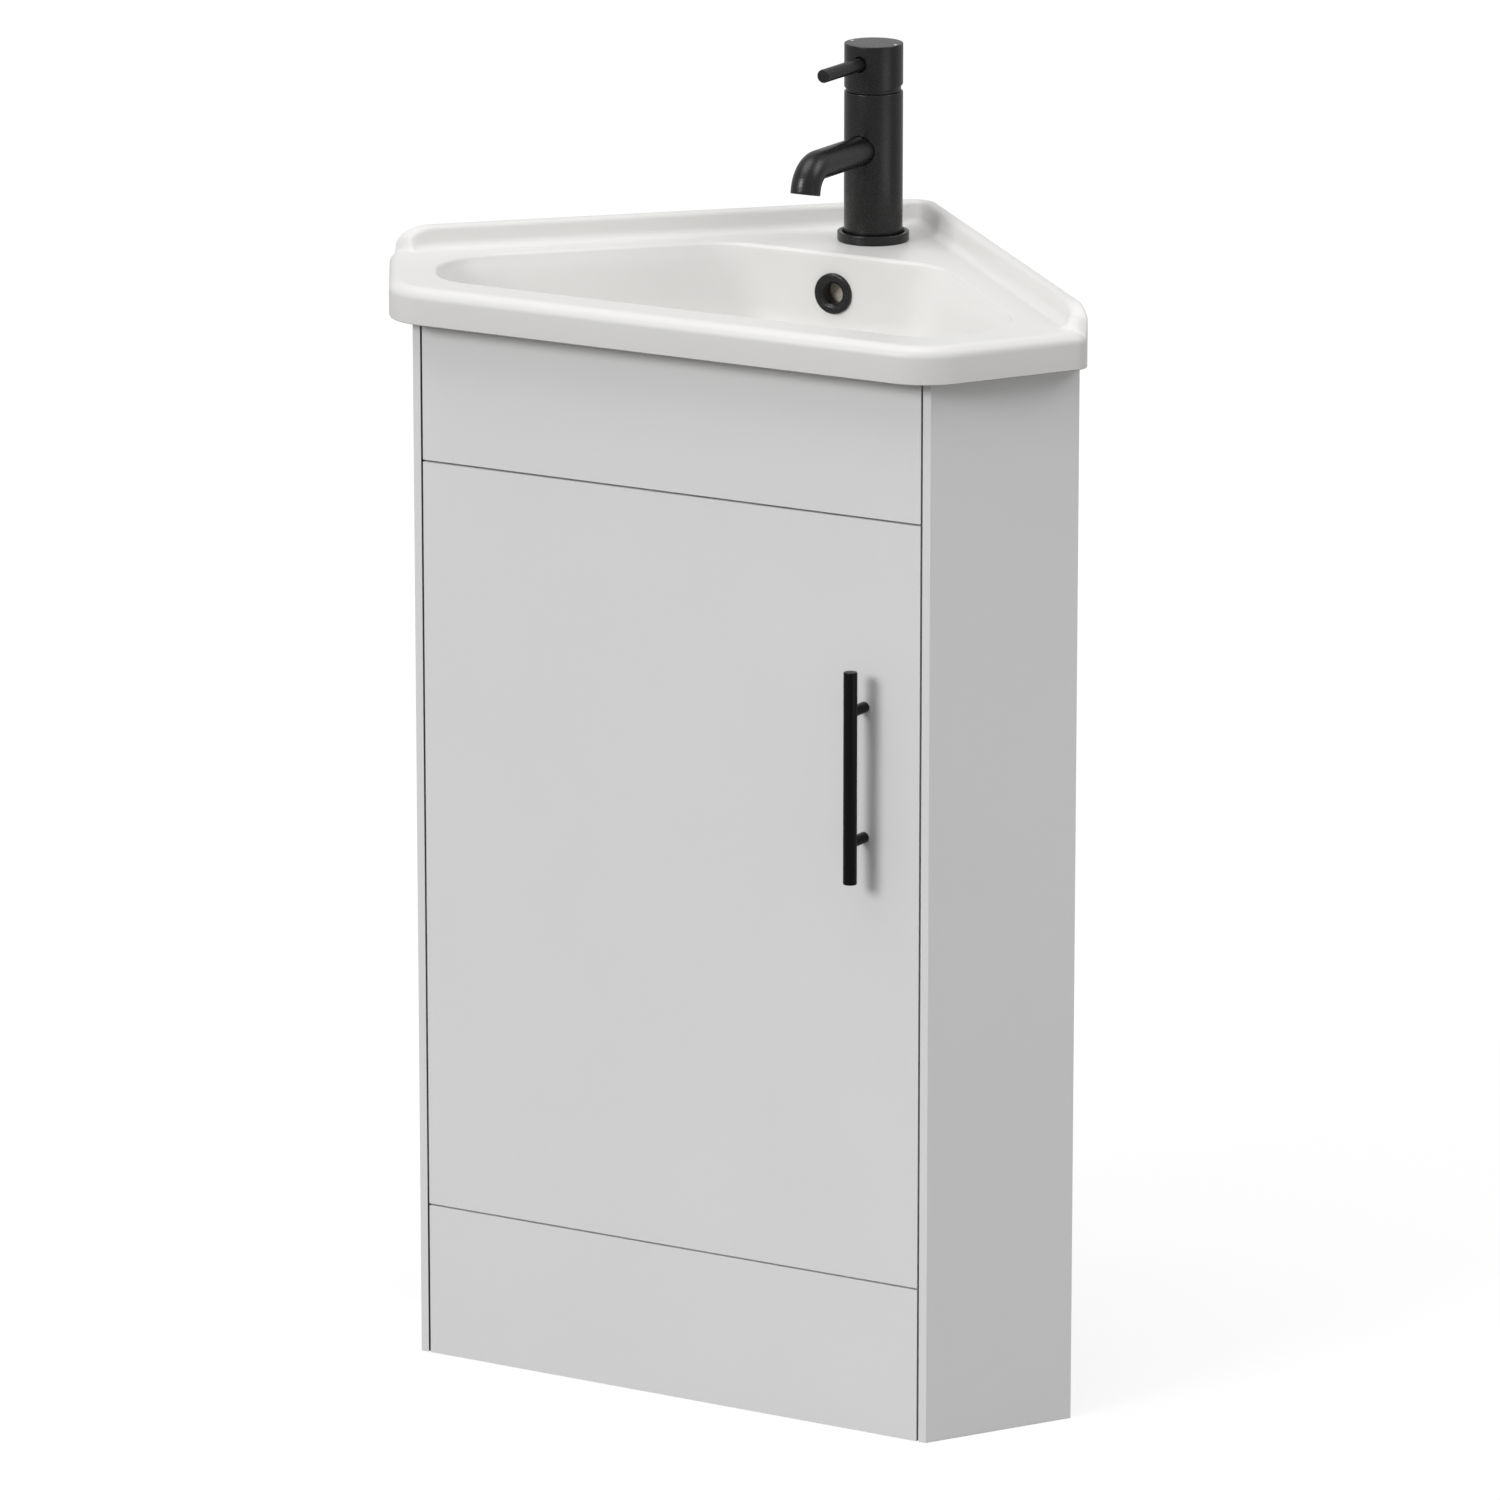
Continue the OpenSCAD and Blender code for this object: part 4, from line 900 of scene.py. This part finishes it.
def threaded(radius, z0, z1):
    """Profile of (radius, height) with a ridge at every pitch."""
    turns = int((z1 - z0) / THREAD_PITCH)
    root_r = radius - THREAD_DEPTH
    profile = []
    for k in range(turns):
        z = z0 + k * THREAD_PITCH
        profile += [(root_r, z), (radius, z + THREAD_PITCH * 0.4), (radius, z + THREAD_PITCH * 0.6)]
    return profile + [(root_r, z0 + turns * THREAD_PITCH)]


def drain_slot(angle):
    """A cutter through the waste's wall from side to side, which lets the overflow's water in."""
    turn = Matrix.Rotation(math.radians(angle), 2)
    corners = [
        turn @ Vector((SLOT_REACH * x, SLOT_HALF_W * y)) for x, y in ((-1, -1), (1, -1), (1, 1), (-1, 1))]
    heights = (FLOOR_UNDER_Z, FLOOR_UNDER_Z + SLOT_H)
    points = [(p.x, WASTE_Y + p.y, z) for z in heights for p in corners]
    sides = [(k, (k + 1) % 4, 4 + (k + 1) % 4, 4 + k) for k in range(4)]
    return scratch_object("slot", points, sides + [(0, 1, 2, 3), (4, 5, 6, 7)], [BRASS_BLACK])


def make_waste():
    """The flanged waste with its threaded tail, plain neck and slots."""
    profile = [(WASTE_BORE_R, WASTE_TAIL_Z), (19.6, WASTE_TAIL_Z)]
    profile += threaded(WASTE_TAIL_R, WASTE_TAIL_Z + 0.6, WASTE_NECK_Z)
    profile += [(WASTE_NECK_R, WASTE_NECK_Z), (WASTE_NECK_R, WASTE_NECK_Z + WASTE_NECK_H)]
    profile += threaded(WASTE_TAIL_R, WASTE_NECK_Z + WASTE_NECK_H + 0.4, WASTE_FLANGE_Z - 4)
    profile += [(WASTE_TAIL_R, WASTE_FLANGE_Z - 2.5)]
    profile += rounded([
        (WASTE_TAIL_R, WASTE_FLANGE_Z), (WASTE_FLANGE_R, WASTE_FLANGE_Z), (WASTE_FLANGE_R, FLOOR_Z, 1.2),
        (PLUG_SEAT_R + 0.6, FLOOR_Z, 0.8), (PLUG_SEAT_R, PLUG_SEAT_Z, 0.3), (WASTE_BORE_R, PLUG_SEAT_Z),
    ])
    shape = lathe(profile, upright(WASTE_Y), ring=True)
    piece = brass_piece("waste_fitting", shape, "cabinet", "waste_body")
    combine(piece, [drain_slot(angle) for angle in SLOT_ANGLES], "DIFFERENCE")
    close_and_shade(piece.data, 32)


def make_plug():
    """A low dome over the waste, on its guide stem."""
    stem_r = 3.15
    stem_foot = -32
    crown = 6.2
    profile = rounded([
        (0, stem_foot), (stem_r, stem_foot), (stem_r, -4), (14, -2.2), (17.6, 0.1), (30.2, 0.1, 0.2),
        (30.5, 1.9, 0.9), (17, 5.6, 30), (0, crown),
    ], 8)
    brass_piece("waste_plug_dome", lathe(profile, upright(WASTE_Y, FLOOR_Z)), "plug", "waste_plug")


NUT_R = 31
NUT_TOP_Z = FLOOR_UNDER_Z - 10
NUT_LOW_Z = FLOOR_UNDER_Z - 19
NUT_STEPS = 160
NUT_GRIPS = 8
SCOOP_DEPTH = 3.0
SCOOP_HALF = 10

# The nut's eased edges: radius lost, at a distance from the end
NUT_EASE = ((1.0, 0), (0.2, 0.6), (0, 1.2))


def scoop(angle):
    """Depth of the nut's grips at an angle. Each one reaches SCOOP_HALF degrees to both sides."""
    pitch = 360 / NUT_GRIPS
    away = abs((math.degrees(angle) + pitch / 2) % pitch - pitch / 2)
    return SCOOP_DEPTH * max(0, math.cos(math.radians(min(away * (90 / SCOOP_HALF), 90)))) ** 0.8


def make_waste_nut():
    """The back nut, with eight scooped grips."""
    sections = [(loss, NUT_LOW_Z + lift) for loss, lift in NUT_EASE]
    sections += [(loss, NUT_TOP_Z - drop) for loss, drop in reversed(NUT_EASE)]
    rings = []
    for loss, z in sections:
        ring = []
        for k in range(NUT_STEPS):
            angle = 2 * math.pi * k / NUT_STEPS
            r = NUT_R - loss - scoop(angle)
            ring.append((r * math.cos(angle), WASTE_Y + r * math.sin(angle), z))
        rings.append(ring)
    piece = brass_piece("waste_back_nut", stack(rings), "cabinet", "waste_nut")
    bore = upright_cutter(WASTE_TAIL_R, WASTE_Y, NUT_LOW_Z - PAST, NUT_TOP_Z + PAST, [BRASS_BLACK])
    combine(piece, [bore], "DIFFERENCE")
    close_and_shade(piece.data, 40)


# ---- Tap ----

TAP_STEPS = 128
TAP_CUT_Y = TAP_FRONT_Y - 4


def make_tap_body():
    """The column: hollow at its foot and at its head, with a hole for the spout."""
    height = TAP_TOP_Z - TAP_FOOT_Z
    foot_bore_r = 18
    foot_bore_h = 18
    head_bore_r = 17.7
    head_bore_low = height - 30
    profile = rounded([
        (0, foot_bore_h), (foot_bore_r, foot_bore_h), (foot_bore_r, 0), (TAP_R, 0, 0.3), (TAP_R, height, 0.7),
        (head_bore_r, height, 0.3), (head_bore_r, head_bore_low), (0, head_bore_low),
    ])
    shape = lathe(profile, upright(TAP_Y, TAP_FOOT_Z), steps=TAP_STEPS)
    piece = brass_piece("tap_column", shape, "cabinet", "tap_body")
    cutter = tube_cutter(SPOUT_R + 0.4, toward_back(0, TAP_CUT_Y, SPOUT_Z), 11, [BRASS_BLACK])
    combine(piece, [cutter], "DIFFERENCE")
    close_and_shade(piece.data, 28)


def make_tap_flange():
    """The ring round the column's foot, with a groove between the two."""
    ring_r = 26.65
    ring_h = 6.2
    groove_r = 22.8
    groove_z = 3
    profile = rounded([
        (TAP_R, 0), (ring_r, 0, 0.3), (ring_r, ring_h, 0.7), (23.6, ring_h, 0.5), (groove_r, 4.4, 0.4),
        (groove_r, groove_z), (TAP_R, groove_z),
    ])
    shape = lathe(profile, upright(TAP_Y, TAP_FOOT_Z), steps=TAP_STEPS, ring=True)
    brass_piece("tap_base_ring", shape, "cabinet", "tap_flange")


def make_spout():
    """A round pipe that runs out level, bends down and ends in a thin lip."""
    straight = SPOUT_ROOT_Y - SPOUT_BEND_Y
    bend = SPOUT_BEND_R * SPOUT_TURN
    total = straight + bend + SPOUT_TIP
    bend_steps = 40
    ring_steps = 80

    def station(s):
        """Centre and upward normal, s millimetres from the root along the pipe's middle."""
        if s <= straight:
            return Vector((SPOUT_ROOT_Y - s, SPOUT_Z)), Vector((0, 1))
        angle = min((s - straight) / SPOUT_BEND_R, SPOUT_TURN)
        normal = Vector((-math.sin(angle), math.cos(angle)))
        along = Vector((-math.cos(angle), -math.sin(angle)))
        past = max(s - straight - bend, 0)
        centre = Vector((SPOUT_BEND_Y, SPOUT_Z - SPOUT_BEND_R))
        return centre + normal * SPOUT_BEND_R + along * past, normal

    stops = [0, 2, straight / 2, straight - 2]
    stops += [straight + bend * k / bend_steps for k in range(bend_steps + 1)]
    stops += [straight + bend + SPOUT_TIP * 0.5]
    runs = [(s, SPOUT_R) for s in stops]
    runs += [(total - 0.5, SPOUT_R), (total - 0.15, SPOUT_R - 0.12), (total, SPOUT_R - 0.45)]
    runs += [(total, SPOUT_BORE_R + 0.6), (total - 0.15, SPOUT_BORE_R + 0.15), (total - 0.6, SPOUT_BORE_R)]
    runs += [(s, SPOUT_BORE_R) for s in reversed(stops)]
    rings = []
    for s, radius in runs:
        middle, normal = station(s)
        ring = []
        for k in range(ring_steps):
            angle = 2 * math.pi * k / ring_steps
            lift = radius * math.sin(angle)
            ring.append((radius * math.cos(angle), middle.x + normal.x * lift, middle.y + normal.y * lift))
        rings.append(ring)
    rings.append(rings[0])
    brass_piece("tap_spout", stack(rings, close_ends=False), "cabinet", "spout")


def make_collar():
    """The ball-shaped collar that turns on the column and carries the cap."""
    bore_r = 15.5
    neck_r = 17.4
    neck_foot = -4
    ball_low = 0.5
    ball_high = 9
    ball_steps = 14
    profile = [(bore_r, neck_foot), (neck_r, neck_foot), (neck_r, 0.4)]
    for k in range(ball_steps + 1):
        z = mix(ball_low, ball_high, k / ball_steps)
        profile.append((math.sqrt(BALL_R ** 2 - z * z), z))
    profile.append((bore_r, ball_high))
    shape = lathe(profile, upright(TAP_Y, TAP_TOP_Z), ring=True)
    brass_piece("cap_collar", shape, "tap_swivel", "swivel_collar")


def cap_section(angle):
    """The cap's section at an angle, from its hollow out and round to its face."""
    lean = math.sin(angle) * ((CAP_REAR_Z - CAP_FRONT_Z) / (2 * TAP_R))
    inner = CAP_HOLLOW_R
    for _ in range(8):
        height = CAP_MIDDLE_Z + inner * lean - TAP_TOP_Z
        inner = math.sqrt(CAP_HOLLOW_R ** 2 - height ** 2)
    inner_z = CAP_MIDDLE_Z + inner * lean
    outer_z = CAP_MIDDLE_Z + TAP_R * lean
    outer = rounded([
        (inner, inner_z), (TAP_R, outer_z, 0.25), (TAP_R, CAP_FACE_Z, 0.5), (TAP_R - 6, CAP_FACE_Z)], 5)
    start = math.atan2(inner_z - TAP_TOP_Z, inner)
    steps = 12
    hollow = []
    for k in range(steps, 0, -1):
        tilt = mix(start, math.pi / 2, k / steps)
        hollow.append((CAP_HOLLOW_R * math.cos(tilt), TAP_TOP_Z + CAP_HOLLOW_R * math.sin(tilt)))
    return hollow + outer + [(0, CAP_FACE_Z)]


def cap_cutters():
    """The countersunk hole for the lever at the front, and the grub screw's hole at the back."""
    hole_r = LEVER_R + 0.4
    hole_depth = LEVER_ROOT_Y - TAP_CUT_Y
    lever_hole = rounded([(0, 0), (LEVER_R + 5, 0), (hole_r, 4.75), (hole_r, hole_depth), (0, hole_depth)])
    grub_hole = [(2.05, 0), (2.05, 30)]
    lever_place = toward_back(0, TAP_CUT_Y, LEVER_Z)
    grub_place = toward_back(0, TAP_Y + 4, GRUB_Z)
    return [
        scratch_object("lever_hole", *lathe(lever_hole, lever_place, 64), [BRASS_BLACK]),
        scratch_object("grub_hole", *lathe(grub_hole, grub_place, 32), [BRASS_BLACK]),
    ]


def make_cap():
    """The lever's cap: a drum whose lower edge rises to the back, hollow over the collar."""
    columns = []
    for k in range(TAP_STEPS):
        angle = 2 * math.pi * k / TAP_STEPS
        section = cap_section(angle)
        columns.append([(r * math.cos(angle), TAP_Y + r * math.sin(angle), z) for r, z in section])
    rows = len(columns[0])
    points = [p for column in columns for p in column]
    faces = []
    for k in range(TAP_STEPS):
        for row in range(rows - 1):
            a = k * rows + row
            b = (k + 1) % TAP_STEPS * rows + row
            faces.append((a, b, b + 1, a + 1))
    piece = brass_piece("lever_drum", (points, faces), "tap_lever", "lever_cap")
    combine(piece, cap_cutters(), "DIFFERENCE")
    close_and_shade(piece.data, 28)


def make_lever():
    """The round bar in the cap's front."""
    length = LEVER_ROOT_Y - LEVER_TIP_Y
    profile = rounded([(0, 0), (LEVER_R, 0, 0.6), (LEVER_R, length), (0, length)])
    shape = lathe(profile, toward_back(0, LEVER_TIP_Y, LEVER_Z), 64)
    brass_piece("lever_bar", shape, "tap_lever", "lever_pin")


# ---- Handle ----


def make_handle():
    """The upright bar, and the two posts that hold it off the door."""
    profile = rounded([(0, 0), (HANDLE_R, 0, 0.6), (HANDLE_R, HANDLE_L, 0.6), (0, HANDLE_L)])
    place = upright(-HANDLE_OUT, HANDLE_Z - HANDLE_L / 2, HANDLE_X)
    points, faces = lathe(profile, place, 64)
    new_piece("handle_rod", points, faces, "door", "black_steel", STEEL_BLACK, ["handle_bar"])
    post = rounded([(0, 0), (POST_R, 0), (POST_R, HANDLE_OUT, 0.25), (0, HANDLE_OUT)])
    points, faces = [], []
    for side in (-1, 1):
        place = toward_back(HANDLE_X, -HANDLE_OUT, HANDLE_Z + side * HANDLE_CENTRES / 2)
        more_points, more_faces = lathe(post, place, 48)
        faces += [[len(points) + k for k in face] for face in more_faces]
        points += more_points
    new_piece("handle_feet", points, faces, "door", "black_steel", STEEL_BLACK, ["handle_posts"])


# ---- Stage, light and camera ----

# The surroundings look white, but give the object less light than white surroundings would
WORLD_FILL = 0.41
MIRRORED_SHARE = 0.35
FLOOR_GLOW = 0.85
FLOOR_ALBEDO = 0.18
FLOOR_HALF = 30.0

# The strip of floor under the plinth, a dark sheet of painted shade: where it starts and ends behind the
# front, and its height
SHADED_START = 2
SHADED_END = 30
SHADED_Z = 0.2

# Far lamps: azimuth and elevation in degrees, brightness on a white face that looks at it, width in degrees
SUNS = {
    "key": (-19, 24, 0.485, 20),
    "top": (-38, 74, 0.42, 46),
    "right": (108, 40, 0.26, 34),
}
LOW_LAMP_PLACE = (2240, -120, 400)
LOW_LAMP_SIZE = (1.2, 0.7)
LOW_LAMP_POWER = 3.4

# Camera: place in metres, radians down and round, and focal length in widths of the sensor
CAMERA_PLACE = (3.4073, -5.95, 2.2303)
CAMERA_DOWN = 0.254
CAMERA_ROUND = 0.5245
SENSOR_W = 36
FOCAL_WIDTHS = 6.3974

WHITE = (1, 1, 1, 1)


def seen_share(tree):
    """1 for rays from the camera and through glass, less for reflections, and 0 for scattered light."""
    path = add_node(tree, "ShaderNodeLightPath").outputs
    mirrored = calculate(tree, "MULTIPLY", path["Is Glossy Ray"], MIRRORED_SHARE)
    first = calculate(tree, "MAXIMUM", path["Is Camera Ray"], mirrored)
    return calculate(tree, "MAXIMUM", first, path["Is Transmission Ray"])


def make_world():
    world = bpy.data.worlds.new("studio")
    bpy.context.scene.world = world
    world.use_nodes = True
    tree = world.node_tree
    background = tree.nodes["Background"]
    inputs = {"Value": seen_share(tree), "To Min": WORLD_FILL, "To Max": 1.0}
    strength = add_node(tree, "ShaderNodeMapRange", inputs)
    tree.links.new(strength.outputs["Result"], background.inputs["Strength"])
    background.inputs["Color"].default_value = WHITE


def bare_material(name):
    """A new material without its default shader."""
    material = bpy.data.materials.new(name)
    material.use_nodes = True
    material.node_tree.nodes.remove(material.node_tree.nodes["Principled BSDF"])
    return material


def flat_sheet(name, corners, material, shader):
    """A flat object from its corners in metres, with the shader as its surface."""
    mesh = bpy.data.meshes.new(name)
    mesh.from_pydata(corners, [], [list(range(len(corners)))])
    sheet = bpy.data.objects.new(name, mesh)
    bpy.context.scene.collection.objects.link(sheet)
    tree = material.node_tree
    tree.links.new(shader.outputs[0], tree.nodes["Material Output"].inputs["Surface"])
    mesh.materials.append(material)
    return sheet


def make_floor():
    """A floor that looks as white as the surroundings, takes soft shadows, and scatters little light."""
    material = bare_material("studio_floor")
    tree = material.node_tree
    white_part = add_node(tree, "ShaderNodeEmission", {"Color": WHITE, "Strength": FLOOR_GLOW})
    shadow_part = add_node(tree, "ShaderNodeBsdfDiffuse", {"Color": tone(1 - FLOOR_GLOW)})
    seen = add_node(tree, "ShaderNodeAddShader", {0: white_part.outputs[0], 1: shadow_part.outputs[0]})
    scatter = add_node(tree, "ShaderNodeBsdfDiffuse", {"Color": tone(FLOOR_ALBEDO)})
    choice = add_node(
        tree, "ShaderNodeMixShader", {0: seen_share(tree), 1: scatter.outputs[0], 2: seen.outputs[0]})
    corners = [(FLOOR_HALF * x, FLOOR_HALF * y, 0) for x, y in ((-1, -1), (1, -1), (1, 1), (-1, 1))]
    floor = flat_sheet("floor", corners, material, choice)


def make_shaded_floor():
    """The strip of floor under the plinth: a dark sheet without the floor's glow, painted shade where the
    joints beside the plinth show it.
    """
    reach = HALF_W - SHADED_START
    flared = reach + SHADED_END * math.tan(FLARE)
    corners = [(-reach, SHADED_START), (reach, SHADED_START), (flared, SHADED_END), (-flared, SHADED_END)]
    material = bare_material("shaded_floor")
    # Dark diffuse grey in place of the floor's white glow: painted shade under the plinth
    painted_shade = add_node(material.node_tree, "ShaderNodeBsdfDiffuse", {"Color": tone(FLOOR_ALBEDO)})
    shaded = flat_sheet("shaded_floor", [at(x, y, SHADED_Z) for x, y in corners], material, painted_shade)


def hang(name, lamp, toward):
    """Puts a lamp in the scene, shining from the direction toward."""
    holder = bpy.data.objects.new(name, lamp)
    bpy.context.scene.collection.objects.link(holder)
    holder.rotation_euler = Vector(toward).to_track_quat("Z", "Y").to_euler()
    return holder


def make_sun(name, azimuth, elevation, level, width):
    """A soft lamp far away. Its azimuth runs from straight ahead of the front, positive to the right."""
    turn = math.radians(azimuth)
    height = math.radians(elevation)
    lamp = bpy.data.lights.new(name, "SUN")
    lamp.energy = level * math.pi
    lamp.angle = math.radians(width)
    toward = (math.sin(turn) * math.cos(height), -math.cos(turn) * math.cos(height), math.sin(height))
    hang(name, lamp, toward)


def make_low_lamp():
    """A soft box that stands to the right, no taller than the cabinet, and faces across it."""
    lamp = bpy.data.lights.new("low_right", "AREA")
    lamp.shape = "RECTANGLE"
    lamp.size, lamp.size_y = LOW_LAMP_SIZE
    lamp.energy = LOW_LAMP_POWER
    holder = hang("low_right", lamp, (1, 0, 0))
    holder.location = at(*LOW_LAMP_PLACE)
    holder.visible_camera = False


def make_lights():
    for name, (azimuth, elevation, level, width) in SUNS.items():
        make_sun(name, azimuth, elevation, level, width)
    make_low_lamp()


def make_camera():
    camera = bpy.data.cameras.new("camera")
    camera.sensor_width = SENSOR_W
    camera.lens = FOCAL_WIDTHS * SENSOR_W
    holder = bpy.data.objects.new("camera", camera)
    bpy.context.scene.collection.objects.link(holder)
    holder.location = CAMERA_PLACE
    holder.rotation_euler = (math.pi / 2 - CAMERA_DOWN, 0, CAMERA_ROUND)
    bpy.context.scene.camera = holder


make_camera()
make_world()
make_floor()
make_shaded_floor()
make_lights()
dress_cabinet()
dress_fittings()
make_basin()
make_overflow_ring()
make_waste()
make_plug()
make_waste_nut()
make_tap_body()
make_tap_flange()
make_spout()
make_collar()
make_cap()
make_lever()
make_handle()

bpy.context.scene.view_settings.view_transform = "Standard"
